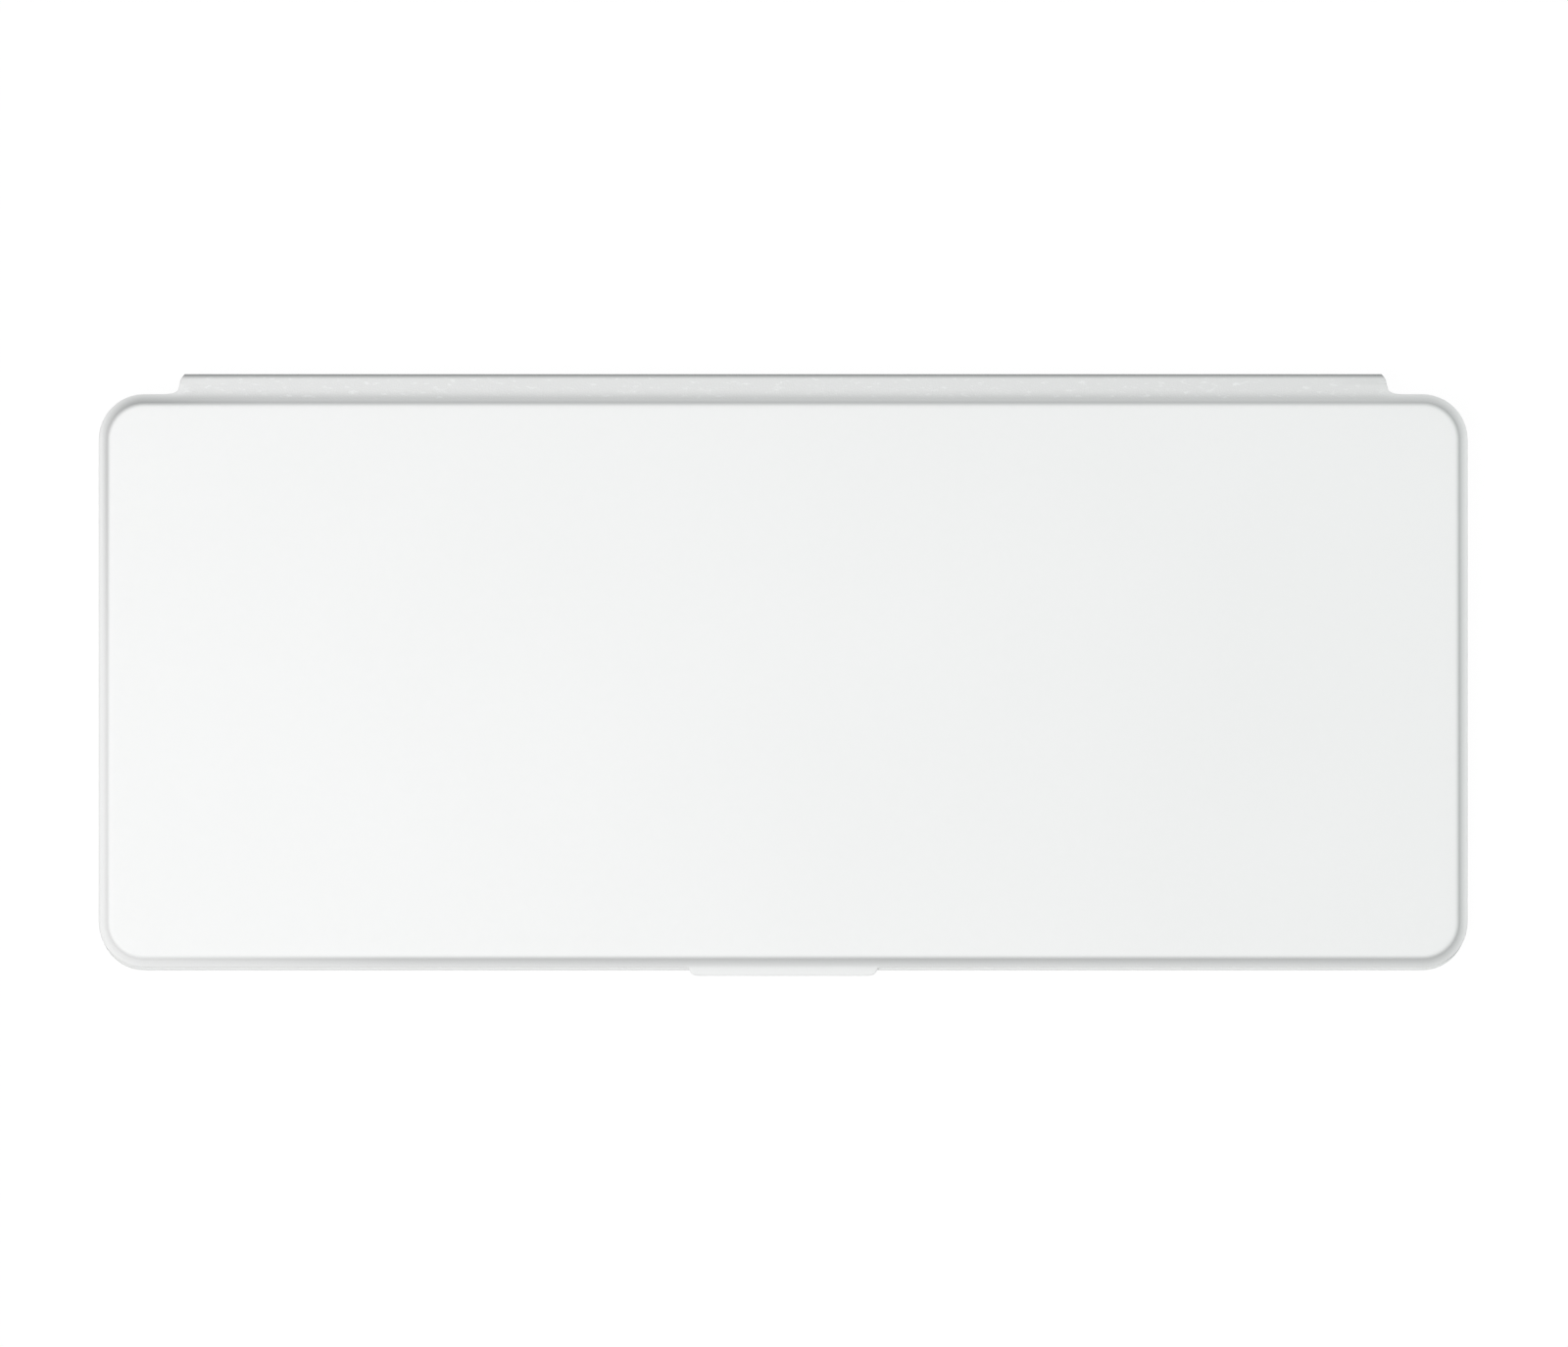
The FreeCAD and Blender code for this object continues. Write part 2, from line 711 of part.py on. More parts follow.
def make_keys():
    """Every keycap with the scissors, dome and wire below it."""
    nodes = {}
    made = {}

    def once(maker, *sizes):
        rounded = (maker,) + tuple(round(size, 4) for size in sizes)
        if rounded not in made:
            made[rounded] = maker(*sizes)
        return made[rounded]

    for key in keys:
        name, node, x, y, width, depth, units = key
        dished = units < stabiliser_from_units
        nodes.setdefault(node, []).append(moved(once(make_cap, width, depth, dished), x, y))
        scissor_width = min(width - 2 * scissor_inset, scissor_widest)
        reach = scissor_depth(key)
        outer, inner = once(make_scissor, scissor_width, reach)
        room = min(reach / 2, scissor_width / 2 - scissor_bar - scissor_side_gap) - scissor_bar
        dome = once(make_dome, min(dome_widest, room - scissor_side_gap))
        offset = space_scissor_offset * key_pitch
        middles = (-offset, offset) if name == "space" else (0.0,)
        for middle in middles:
            nodes.setdefault("scissor_outer_frames", []).append(moved(outer, x + middle, y))
            nodes.setdefault("scissor_inner_frames", []).append(moved(inner, x + middle, y))
            nodes.setdefault("rubber_domes", []).append(moved(dome, x + middle, y))
        if units >= stabiliser_from_units:
            nodes.setdefault("stabiliser_bars", []).append(
                moved(make_stabiliser(width, depth), x, y))
    return nodes


def make_sheets():
    """The steel plate and the switch membrane under the keys, with the membrane's tail to the board."""
    gap = web_side_gap
    plate_outline = rectangle(
        -well_half, well_half, well_front, well_back - gap, well_corner)
    plate = slab(plate_outline, floor_thickness, plate_top)
    sheet = slab(plate_outline, plate_top, membrane_top)
    tail_left = board_left + 4 * post_radius
    tail_right = tail_left + tail_width
    slot = block(
        tail_left - gap, tail_right + gap, board_middle_y - tail_slot / 2,
        board_middle_y + tail_slot / 2, floor_thickness, plate_top)
    drop = block(
        tail_left, tail_right, board_middle_y - membrane_thickness / 2,
        board_middle_y + membrane_thickness / 2, connector_top, plate_top)
    return {"key_support_plate": [plate.cut(slot)], "membrane_sheet": [sheet.fuse(drop).removeSplitter()]}


tail_width = 14.0
tail_slot = 1.0
connector_height = 0.9
connector_depth = 3.2
board_middle_y = (board_front + board_back) / 2
connector_top = board_top + connector_height


def make_electronics():
    board = slab(board_outline(), board_bottom, board_top)
    pegs = [cylinder(peg_radius + screw_clearance, board_bottom, board_top, x, y) for x, y in board_posts()]
    tail_left = board_left + 4 * post_radius
    chip_left = tail_left + tail_width + 2 * board_gap

    def part_on_board(left, length, depth, height, y=board_middle_y):
        return block(left, left + length, y - depth / 2, y + depth / 2, board_top, board_top + height)

    shield_length, shield_depth, shield_height = 13.0, 10.0, 1.0
    parts = [
        part_on_board(tail_left - 1.0, tail_width + 2.0, connector_depth, connector_height),
        part_on_board(chip_left, 6.0, 6.0, 0.8),
        part_on_board(chip_left + 7.5, 3.2, 2.5, 0.7),
        part_on_board(chip_left + 14.0, shield_length, shield_depth, shield_height)]
    for i in range(6):
        parts.append(part_on_board(chip_left + 1.6 * i, 1.0, 0.5, 0.5, board_middle_y + 5.0))
    switch_body = block(
        board_right - switch_body_width, board_right, switch_y - switch_body_length / 2,
        switch_y + switch_body_length / 2, board_top, board_top + switch_body_height)
    pipe = cylinder(light_pipe_radius, board_top, rim_top, light_pipe_x, case_screw_y)
    return {
        "main_board": [board.cut(pegs)],
        "board_components": parts + [switch_body],
        "status_light_pipe": [pipe]}


def make_power_knob():
    """The slide knob: a flange inside the wall and a nub that shows through its slot."""
    rest_y = switch_y - switch_travel / 2
    flange_out = inner_half - knob_clearance
    nub = block(
        flange_out - knob_flange_thickness, base_half + knob_proud, rest_y - knob_length / 2,
        rest_y + knob_length / 2, switch_z - knob_height / 2, switch_z + knob_height / 2)
    flange = block(
        flange_out - knob_flange_thickness, flange_out, rest_y - knob_length / 2 - knob_flange,
        rest_y + knob_length / 2 + knob_flange, switch_z - knob_height / 2 - knob_flange / 2,
        switch_z + knob_height / 2 + knob_flange / 2)
    return {"power_switch_knob": [nub.fuse(flange).removeSplitter()]}


def make_batteries():
    """Two coin cells side by side with their contacts."""
    spacing = cell_radius + cell_gap / 2
    cells = []
    leaves = []
    for sign in (-1, 1):
        can = cylinder(cell_radius, cell_bottom, cell_top - cell_cap_height, sign * spacing, bay_y)
        cap = cylinder(cell_cap_radius, cell_bottom, cell_top, sign * spacing, bay_y)
        cells.append(can.fuse(cap).removeSplitter())
        leaves.append(block(
            sign * spacing - contact_leaf_width / 2, sign * spacing + contact_leaf_width / 2,
            bay_y + cell_radius, bay_y + cell_radius + contact_thickness,
            cell_bottom, cell_top - cell_cap_height))
    bridge = block(
        -spacing - contact_leaf_width / 2, spacing + contact_leaf_width / 2,
        bay_y - contact_leaf_width / 2, bay_y + contact_leaf_width / 2,
        cell_top, cell_top + contact_thickness)
    return {"coin_cells": cells, "battery_contacts": [bridge] + leaves}


def make_fasteners():
    screws = []
    seat = anchor_top + anchor_clearance
    for x in case_screw_places():
        head = cylinder(case_screw_head_radius, seat, seat + case_screw_head, x, case_screw_y)
        shank = cylinder(
            case_screw_radius, seat, web_top + case_screw_depth - screw_clearance, x, case_screw_y)
        screws.append(head.fuse(shank).removeSplitter())
    return {"case_screws": screws, "closure_magnets": magnet_spaces(0.0)}


def make_feet():
    """Four rubber strips, drawn longer than they need to be: the table trims them level."""
    feet = []
    for y, top in ((front_foot_y, 0.0), (back_foot_y, bulge_bottom)):
        strip = slab(
            rectangle(
                foot_offset - foot_length / 2, foot_offset + foot_length / 2, y - foot_width / 2,
                y + foot_width / 2, foot_width / 2 - wall_thickness / 2), top - 2 * foot_height, top)
        feet += mirrored_pair(strip)
    return {"rubber_feet": feet}


def stand(shape):
    """From the deck frame to the frame of the part, which stands on the table."""
    standing = shape.copy()
    standing.rotate(Vector(0, 0, 0), X_AXIS, math.degrees(stand_tilt))
    standing.translate(Vector(0, stand_shift, stand_rise))
    return standing


def above_table(shape):
    half = cover_width / 2 + table_margin
    return shape.common(block(-half, half, -half, half, 0.0, table_margin))


def main():
    nodes = {}
    for made in (
            make_bottom_case(), make_deck(), make_sheets(), make_keys(), make_electronics(),
            make_power_knob(), make_batteries(), make_battery_door(), make_fasteners(), make_feet(),
            make_hinge(), make_cover()):
        nodes.update(made)
    os.makedirs("parts", exist_ok=True)
    for name, shapes in nodes.items():
        solids = [solid for shape in shapes for solid in stand(shape).Solids]
        if name == "rubber_feet":
            solids = [solid for foot in solids for solid in above_table(foot).Solids]
        whole = Part.makeCompound(solids)
        if not all(solid.isValid() for solid in solids):
            print("not valid:", name)
        whole.exportStep("parts/" + name + ".step")
    print(len(nodes), "nodes,", len(keys), "keys, tilt", round(math.degrees(stand_tilt), 3))
    print("closed thickness", round(panel_top, 3), "to", round(panel_top - bulge_bottom + foot_height, 3))


main()
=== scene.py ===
import json
import math

import bmesh
import bpy
from mathutils import Matrix, Vector
from mathutils.bvhtree import BVHTree


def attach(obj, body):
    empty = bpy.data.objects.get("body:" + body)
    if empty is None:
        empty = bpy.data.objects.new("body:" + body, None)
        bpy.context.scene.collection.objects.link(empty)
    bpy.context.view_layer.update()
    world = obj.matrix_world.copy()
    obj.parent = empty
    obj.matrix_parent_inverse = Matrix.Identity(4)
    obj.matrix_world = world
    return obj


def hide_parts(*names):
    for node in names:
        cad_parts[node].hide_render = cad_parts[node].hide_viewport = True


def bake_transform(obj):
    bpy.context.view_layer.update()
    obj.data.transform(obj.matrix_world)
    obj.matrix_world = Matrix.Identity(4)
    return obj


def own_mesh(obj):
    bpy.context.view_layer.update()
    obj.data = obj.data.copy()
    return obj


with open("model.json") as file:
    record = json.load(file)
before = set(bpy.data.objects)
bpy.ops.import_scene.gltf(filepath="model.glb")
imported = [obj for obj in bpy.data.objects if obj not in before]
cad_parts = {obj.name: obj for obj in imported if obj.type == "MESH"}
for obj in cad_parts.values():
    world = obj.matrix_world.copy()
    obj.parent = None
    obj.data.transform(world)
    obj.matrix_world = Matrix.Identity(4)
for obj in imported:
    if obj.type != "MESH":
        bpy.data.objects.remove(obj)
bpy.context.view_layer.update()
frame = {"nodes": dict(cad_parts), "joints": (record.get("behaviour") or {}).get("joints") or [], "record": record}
print("frame loaded:", len(frame["nodes"]), "nodes")

# Shapes are drawn in deck millimetres: x to the right, y to the back and z square to the keys, from the
# crease where the cover meets its hinge strip. The deck's back stands a little higher.
perMetre = 1000  # millimetres in a metre
near = 1e-6  # places closer than this, in millimetres, are one
square = 0.99  # a way out whose part along an axis is more than this runs along that axis
joints = {joint["name"]: joint for joint in frame["joints"]}
deckUp = -Vector(joints["key_a_press"]["axis"]).normalized()
deckBack = deckUp.cross(Vector((1, 0, 0))).normalized()
deckTurn = Matrix((Vector((1, 0, 0)), deckBack, deckUp)).transposed().to_4x4()
deck = Matrix.Translation(joints["cover_fold"]["pos_m"]) @ deckTurn @ Matrix.Scale(1 / perMetre, 4)
toDeck = deck.inverted()


def onDeck(x, y, z):
    return deck @ Vector((x, y, z))


def foldLine(name):  # where a fold's line lies, in deck millimetres
    return toDeck @ Vector(joints[name]["pos_m"])


def tone(red, green, blue):  # a colour by its screen values, 0 to 255
    def linear(value):
        value /= 255
        return value / 12.92 if value <= 0.04045 else ((value + 0.055) / 1.055) ** 2.4

    return (linear(red), linear(green), linear(blue), 1)


def ease(value, low, high):  # 0 below low, 1 above high, and smooth between
    share = min(1.0, max(0.0, (value - low) / (high - low)))
    return share * share * (3 - 2 * share)


def readOff(stops, value):  # a height read off a table of (place, height)
    if value <= stops[0][0]:
        return stops[0][1]
    for (x0, z0), (x1, z1) in zip(stops, stops[1:]):
        if value <= x1:
            return z0 + (z1 - z0) * (value - x0) / (x1 - x0)
    return stops[-1][1]


# Materials

class Wire:  # a node's output, which sums can be written with
    def __init__(self, paint, socket):
        self.paint = paint
        self.socket = socket

    def reckon(self, operation, first, second):
        return self.paint.add("Math", {"operation": operation}, {0: first, 1: second})

    def __add__(self, other):
        return self.reckon("ADD", self, other)

    def __radd__(self, other):
        return self.reckon("ADD", other, self)

    def __sub__(self, other):
        return self.reckon("SUBTRACT", self, other)

    def __rsub__(self, other):
        return self.reckon("SUBTRACT", other, self)

    def __mul__(self, other):
        return self.reckon("MULTIPLY", self, other)

    def __rmul__(self, other):
        return self.reckon("MULTIPLY", other, self)

    def atMost(self, level):
        return self.reckon("MINIMUM", self, level)

    def below(self, level):  # 1 where it is less than level, else 0
        return self.reckon("LESS_THAN", self, level)

    def above(self, level):
        return self.reckon("GREATER_THAN", self, level)


class Paint:  # the nodes of one material, or of the world
    def __init__(self, name, kept=bpy.data.materials):
        self.holder = kept.new(name)
        self.holder.use_nodes = True
        self.tree = self.holder.node_tree
        self.tree.nodes.clear()

    def add(self, kind, settings=None, sockets=None, out=0):
        node = self.tree.nodes.new("ShaderNode" + kind)
        for name, value in (settings or {}).items():
            setattr(node, name, value)
        for key, value in (sockets or {}).items():
            if isinstance(value, Wire):
                self.tree.links.new(value.socket, node.inputs[key])
            else:
                node.inputs[key].default_value = value
        return Wire(self, node.outputs[out]) if len(node.outputs) else None

    def spot(self):  # a place on the piece, in metres
        return self.add("TexCoord", out="Object")

    def drawn(self, x, y, z):  # the same, with each way stretched or squeezed
        return self.add("VectorMath", {"operation": "MULTIPLY"}, {0: self.spot(), 1: (x, y, z)})

    def noise(self, size, detail=2.0, rough=0.5, at=None):  # patches about size millimetres across
        return self.add("TexNoise", None, {
            "Vector": at or self.spot(), "Scale": perMetre / size, "Detail": detail, "Roughness": rough})

    def cells(self, size):  # distance from the nearest of many scattered points
        return self.add("TexVoronoi", None, {"Vector": self.spot(), "Scale": perMetre / size})

    def mix(self, factor, first, second):
        return self.add("Mix", {"data_type": "RGBA"}, {"Factor": factor, 6: first, 7: second}, out=2)

    def bump(self, height, depth):  # depth in millimetres
        return self.add("Bump", None, {"Height": height, "Distance": depth / perMetre, "Strength": 1.0})

    def mark(self, name):  # a number kept at each point of a mesh
        return self.add("Attribute", {"attribute_name": name}, out="Fac")

    def done(self, sockets):
        shader = self.add("BsdfPrincipled", None, sockets)
        self.add("OutputMaterial", None, {"Surface": shader})
        return self.holder

    def shown(self):  # 1 where the camera, a gloss or a clear piece sees it, else 0
        camera, glossy, through = [self.add("LightPath", out="Is " + kind + " Ray")
                                   for kind in ("Camera", "Glossy", "Transmission")]
        return (camera + glossy + through).atMost(1.0)


coatingLook = {
    "colour": tone(243, 243, 243), "strip": tone(221, 221, 221), "shadowed": tone(228, 229, 228),
    # tone(160, 162, 162) is painted shade, laid along the line round the panel and on the bends of the hinge strip
    "paintedShade": tone(160, 162, 162), "mottle": 0.25, "mottleSize": 55, "fine": 0.1, "fineSize": 1.4,
    # light flecks on the strip, drawn out sideways, from one level of their noise to the next
    "fleck": tone(243, 244, 244), "fleckSize": 0.8, "fleckSquash": 0.4, "fleckShare": 0.5,
    "fleckFrom": 0.57, "fleckFull": 0.7,
    "grainSize": 0.32, "grainDepth": 0.022, "poreSize": 0.12, "poreShare": 0.15,
    "roughness": 0.38, "roughShift": 0.06, "gloss": 0.6}


def coatedSheet(name, look):  # the soft coated skin of the cover and of the hinge
    paint = Paint(name)
    strip = paint.mark("grain")
    # how much painted shade each point takes, kept on the mesh
    paintedShade = paint.mark("paintedShade")
    grain = paint.cells(look["grainSize"]) * 0.7 + paint.noise(look["grainSize"] * 0.6, 3.0) * 0.3
    pores = paint.noise(look["poreSize"], 1.0)
    broad = paint.noise(look["mottleSize"])
    fine = paint.noise(look["fineSize"], 3.0, 0.6)
    base = paint.mix(strip * strip, look["colour"], look["strip"])
    patch = paint.mix(broad * look["mottle"] + fine * look["fine"], base, look["shadowed"])
    streak = paint.noise(look["fleckSize"], 3.0, 0.7, paint.drawn(look["fleckSquash"], 1.0, 1.0))
    flecks = paint.add("MapRange", None, {
        "Value": streak, "From Min": look["fleckFrom"], "From Max": look["fleckFull"]})
    flecked = paint.mix(flecks * strip * strip * look["fleckShare"], patch, look["fleck"])
    return paint.done({
        "Base Color": paint.mix(paintedShade, flecked, look["paintedShade"]),
        "Roughness": look["roughness"] + fine * look["roughShift"],
        "Normal": paint.bump(grain * strip + pores * look["poreShare"], look["grainDepth"]),
        "Specular IOR Level": look["gloss"]})


liningLook = {
    "colour": tone(204, 206, 208), "fleck": tone(184, 186, 190), "fibre": 0.11, "stretch": 0.35,
    "brushedSize": 9, "depth": 0.03, "roughness": 0.92, "sheen": 0.35}


def microfibre(name, look):
    paint = Paint(name)
    along = paint.noise(look["fibre"], 3.0, 0.65, paint.drawn(1.0, look["stretch"], 1.0))
    across = paint.noise(look["fibre"], 3.0, 0.65, paint.drawn(look["stretch"], 1.0, 1.0))
    nap = along * 0.5 + across * 0.5
    patch = paint.noise(look["brushedSize"], 3.0, 0.6)  # where the nap was brushed one way or the other
    return paint.done({
        "Base Color": paint.mix(nap * 0.5 + patch * 0.5, look["colour"], look["fleck"]),
        "Roughness": look["roughness"], "Specular IOR Level": 0.2,
        "Sheen Weight": look["sheen"], "Sheen Roughness": 0.5,
        "Normal": paint.bump(nap + patch * 0.5, look["depth"])})


def shaded(colour, share):  # a colour made darker, or lighter where share is over 1
    return tuple(value * share for value in colour[:3]) + (1,)


def mouldedPlastic(name, colour, shift=0.96, texture=0.16, depth=0.006, roughness=0.5, worn=0.0):
    paint = Paint(name)
    spark = paint.noise(texture, 2.0, 0.6)  # the mould's fine texture
    broad = paint.noise(34)
    return paint.done({
        "Base Color": paint.mix(broad * 0.7 + spark * 0.3, colour, shaded(colour, shift)),
        "Roughness": roughness + spark * 0.08 - broad * worn,
        "Normal": paint.bump(spark, depth)})


def brushedMetal(name, colour, roughness=0.3, lines=(1.0, 12.0, 12.0)):
    paint = Paint(name)
    brushed = paint.noise(1.2, 4.0, 0.6, paint.drawn(*lines))  # lines along the least squeezed way
    return paint.done({
        "Base Color": paint.mix(brushed, colour, shaded(colour, 0.82)), "Metallic": 1.0,
        "Roughness": roughness + brushed * 0.18, "Normal": paint.bump(brushed, 0.004)})


def softRubber(name, colour, roughness=0.75):
    paint = Paint(name)
    dust = paint.noise(0.5, 4.0, 0.7)
    return paint.done({
        "Base Color": paint.mix(dust, colour, shaded(colour, 0.85)),
        "Roughness": roughness + dust * 0.12, "Normal": paint.bump(dust, 0.01),
        "Specular IOR Level": 0.3})


boardLook = {
    "resist": tone(24, 84, 58), "resistLight": tone(28, 96, 64), "runs": tone(46, 124, 84),
    "pads": tone(198, 160, 84), "runScale": 420.0, "runWidth": 0.012, "padSpacing": 3.1,
    "padSize": 0.12, "padDepth": 0.03}


def circuitBoard(name, look):
    paint = Paint(name)
    runs = paint.add("TexBrick", {"offset": 0.5}, {
        "Vector": paint.spot(), "Scale": look["runScale"], "Mortar Size": look["runWidth"],
        "Color1": look["resist"], "Color2": look["resistLight"], "Mortar": look["runs"]})
    pads = paint.cells(look["padSpacing"]).below(look["padSize"])
    return paint.done({
        "Base Color": paint.mix(pads, runs, look["pads"]), "Metallic": pads * 0.9,
        "Roughness": 0.36 + paint.noise(2.0) * 0.1, "Normal": paint.bump(pads, look["padDepth"])})


filmLook = {
    "film": tone(214, 220, 218), "ink": tone(150, 154, 156), "lineScale": 90.0, "wander": 2.0,
    "inkFrom": 0.86, "inkDepth": 0.02}


def printedFilm(name, look):
    paint = Paint(name)
    bands = paint.add("TexWave", {"wave_type": "BANDS", "bands_direction": "DIAGONAL"}, {
        "Vector": paint.spot(), "Scale": look["lineScale"], "Distortion": look["wander"]})
    printed = bands.above(look["inkFrom"])
    return paint.done({
        "Base Color": paint.mix(printed, look["film"], look["ink"]),
        "Roughness": 0.28 + paint.noise(3.0) * 0.1,
        "Normal": paint.bump(printed, look["inkDepth"])})


def inkPrint(name, colour):
    paint = Paint(name)
    speck = paint.noise(0.25, 3.0, 0.6)
    return paint.done({
        "Base Color": paint.mix(speck, colour, shaded(colour, 1.18)),
        "Roughness": 0.48 + speck * 0.1, "Normal": paint.bump(speck, 0.003)})


coverCoating = coatedSheet("coverCoating", coatingLook)
liningCloth = microfibre("liningCloth", liningLook)
keyPlastic = mouldedPlastic(
    "keyPlastic", tone(236, 237, 237), shift=0.98, texture=0.13, depth=0.005, roughness=0.52, worn=0.05)
keyInk = inkPrint("keyInk", tone(96, 98, 102))
casePlastic = mouldedPlastic(
    "casePlastic", tone(244, 245, 244), shift=0.97, texture=0.2, depth=0.008, roughness=0.55)

nodeFinishes = {
    "cover_stiffener": mouldedPlastic(
        "stiffenerBoard", tone(150, 146, 138), shift=0.85, texture=0.6, depth=0.02, roughness=0.8),
    "cover_closure_plates": brushedMetal("closureSteel", tone(186, 188, 190)),
    "spine_stiffener": liningCloth,
    "bottom_case": casePlastic,
    "battery_door": casePlastic,
    "deck_frame": mouldedPlastic("deckPlastic", tone(247, 248, 247)),
    "key_web": mouldedPlastic("webPlastic", tone(216, 218, 218)),
    "key_support_plate": brushedMetal("plateSteel", tone(176, 180, 182), roughness=0.38),
    "membrane_sheet": printedFilm("membraneFilm", filmLook),
    "rubber_domes": softRubber("domeRubber", tone(206, 210, 210)),
    "scissor_outer_frames": mouldedPlastic(
        "scissorWhite", tone(232, 232, 228), texture=0.3, depth=0.004, roughness=0.4),
    "stabiliser_bars": brushedMetal(
        "wireSteel", tone(196, 198, 200), roughness=0.22, lines=(12.0, 1.0, 12.0)),
    "main_board": circuitBoard("boardGreen", boardLook),
    "board_components": mouldedPlastic(
        "partsBlack", tone(38, 40, 44), shift=0.7, texture=0.2, depth=0.01, roughness=0.42),
    "status_light_pipe": mouldedPlastic(
        "lightGuide", tone(232, 236, 240), shift=0.98, texture=0.4, depth=0.002, roughness=0.16),
    "power_switch_knob": mouldedPlastic(
        "knobGrey", tone(142, 146, 148), shift=0.92, texture=0.15, depth=0.01, roughness=0.46),
    "coin_cells": brushedMetal("cellSteel", tone(206, 208, 208), roughness=0.24, lines=(3.0, 3.0, 1.0)),
    "battery_contacts": brushedMetal("contactSteel", tone(206, 196, 160), roughness=0.26),
    "battery_door_screws": brushedMetal(
        "doorScrewSteel", tone(192, 194, 196), roughness=0.28, lines=(6.0, 6.0, 1.0)),
    "case_screws": brushedMetal("caseScrewSteel", tone(150, 152, 156), lines=(6.0, 6.0, 1.0)),
    "closure_magnets": brushedMetal("magnetNickel", tone(214, 212, 206), roughness=0.16),
    "rubber_feet": softRubber("footRubber", tone(150, 154, 156)),
}
for node, part in frame["nodes"].items():
    finish = nodeFinishes.get(node, keyPlastic if "key" in node else None)
    if finish is None:
        continue
    part.data.materials.clear()
    part.data.materials.append(finish)
print("materials made:", len(bpy.data.materials))


# Mesh making

sharpFrom = 42  # degrees between two faces from which their edge shows


def inScene(name, data):
    made = bpy.data.objects.new(name, data)
    bpy.context.scene.collection.objects.link(made)
    return made


def makePiece(name, points, faces, material, weld=None):  # points nearer than weld metres become one
    mesh = bpy.data.meshes.new(name)
    mesh.from_pydata(points, [], faces)
    work = bmesh.new()
    work.from_mesh(mesh)
    if weld:
        bmesh.ops.remove_doubles(work, verts=work.verts, dist=weld)
        bmesh.ops.dissolve_degenerate(work, edges=work.edges, dist=weld)
    bmesh.ops.recalc_face_normals(work, faces=work.faces)
    work.to_mesh(mesh)
    work.free()
    mesh.materials.append(material)
    return inScene(name, mesh)


class Sheet:  # points and faces put together row by row, with two numbers kept at each point
    def __init__(self):
        self.points = []
        self.faces = []
        # the first number kept is how much painted shade a point takes, the second how grained the coating is
        # there
        self.paintedShade = []
        self.grain = []

    def point(self, x, y, z, paintedShade=0.0, grain=0.0):
        self.points.append((x, y, z))
        self.paintedShade.append(paintedShade)
        self.grain.append(grain)
        return len(self.points) - 1

    def face(self, corners):
        kept = list(dict.fromkeys(corners))
        if len(kept) > 2:
            self.faces.append(kept)

    def join(self, first, second, closed=True):
        for i in range(len(first) if closed else len(first) - 1):
            j = (i + 1) % len(first)
            self.face([first[i], first[j], second[j], second[i]])
        return second

    def wrap(self, rings, ends=True):  # rings joined in turn, with a face at each end
        for first, second in zip(rings, rings[1:]):
            self.join(first, second)
        if ends:
            self.face(rings[0])
            self.face(rings[-1])

    def piece(self, name, material):
        made = makePiece(name, [onDeck(*place) for place in self.points], self.faces, material)
        for mark in ("paintedShade", "grain"):
            kept = made.data.attributes.new(mark, "FLOAT", "POINT")
            kept.data.foreach_set("value", getattr(self, mark))
        made.data.shade_smooth()
        made.data.set_sharp_from_angle(angle=math.radians(sharpFrom))
        return made


# The cover: a raised panel that sweeps down to a thin rim, with the lift lip in front and the front
# half of the hinge strip behind.
coverLook = {
    "halfWidth": 125.4, "depth": 105.0, "corner": 8.3, "rim": 1.5, "rimEdge": 0.1, "underEdge": 0.6,
    "skinBottom": -0.5, "tongueBottom": -0.82, "tongueDrop": (0.8, 1.0), "tongueHold": 0.72,
    "pocketTop": 0.1, "pocketInset": 0.5, "pocketRun": 0.02, "stripFade": (108.5, 113.6),
    "cornerSteps": 12, "sideSteps": 15, "panelRows": (-4.0, -2.2), "underGrain": 0.4,
    # how much painted shade darkens the line round the panel at each place along a side, darkest at the back and
    # right where the light falls away, how far it reaches in and out, and how fast it fades
    "paintedShadeRight": ((0, 0.52),), "paintedShadeLeft": ((-80, 0.0), (-52, 0.06), (-12, 0.42)),
    "paintedShadeBack": ((-118, 0.76), (-95, 0.55)),
    "paintedShadeFront": ((-122, 0.0), (-110, 0.1), (-70, 0.41), (20, 0.57)),
    "paintedShadeIn": (-0.05, 0.9), "paintedShadeOut": 1.6, "paintedShadeFall": 1.4,
    "grainRise": (-0.2, 0.9), "flangeGrain": 0.55,
    # height above the crease at each distance out from the panel's line
    "sweep": ((-1.1, 0.6), (-0.75, 0.594), (-0.5, 0.572), (-0.3, 0.525), (-0.15, 0.45), (-0.05, 0.37),
              (0.05, 0.28), (0.15, 0.205), (0.3, 0.13), (0.5, 0.06), (0.75, 0.0), (1.05, -0.06),
              (1.3, -0.1), (1.5, -0.13), (3.2, -0.17)),
    "frontSweep": ((-1.1, 0.6), (-0.75, 0.59), (-0.5, 0.56), (-0.3, 0.5), (-0.15, 0.42), (-0.05, 0.335),
                   (0.05, 0.24), (0.15, 0.165), (0.3, 0.085), (0.5, 0.0), (0.75, -0.08), (1.05, -0.155),
                   (1.3, -0.2), (1.5, -0.23), (3.2, -0.25)),
    "rearSweep": ((-1.1, 0.6), (-0.75, 0.59), (-0.5, 0.565), (-0.3, 0.51), (-0.15, 0.43),
                  (-0.05, 0.35), (0.05, 0.265), (0.15, 0.2), (0.3, 0.13), (0.5, 0.07), (0.75, 0.015),
                  (1.05, -0.035), (1.3, -0.065), (1.5, -0.085), (1.8, -0.106), (2.2, -0.124),
                  (2.7, -0.134), (3.4, -0.135))}
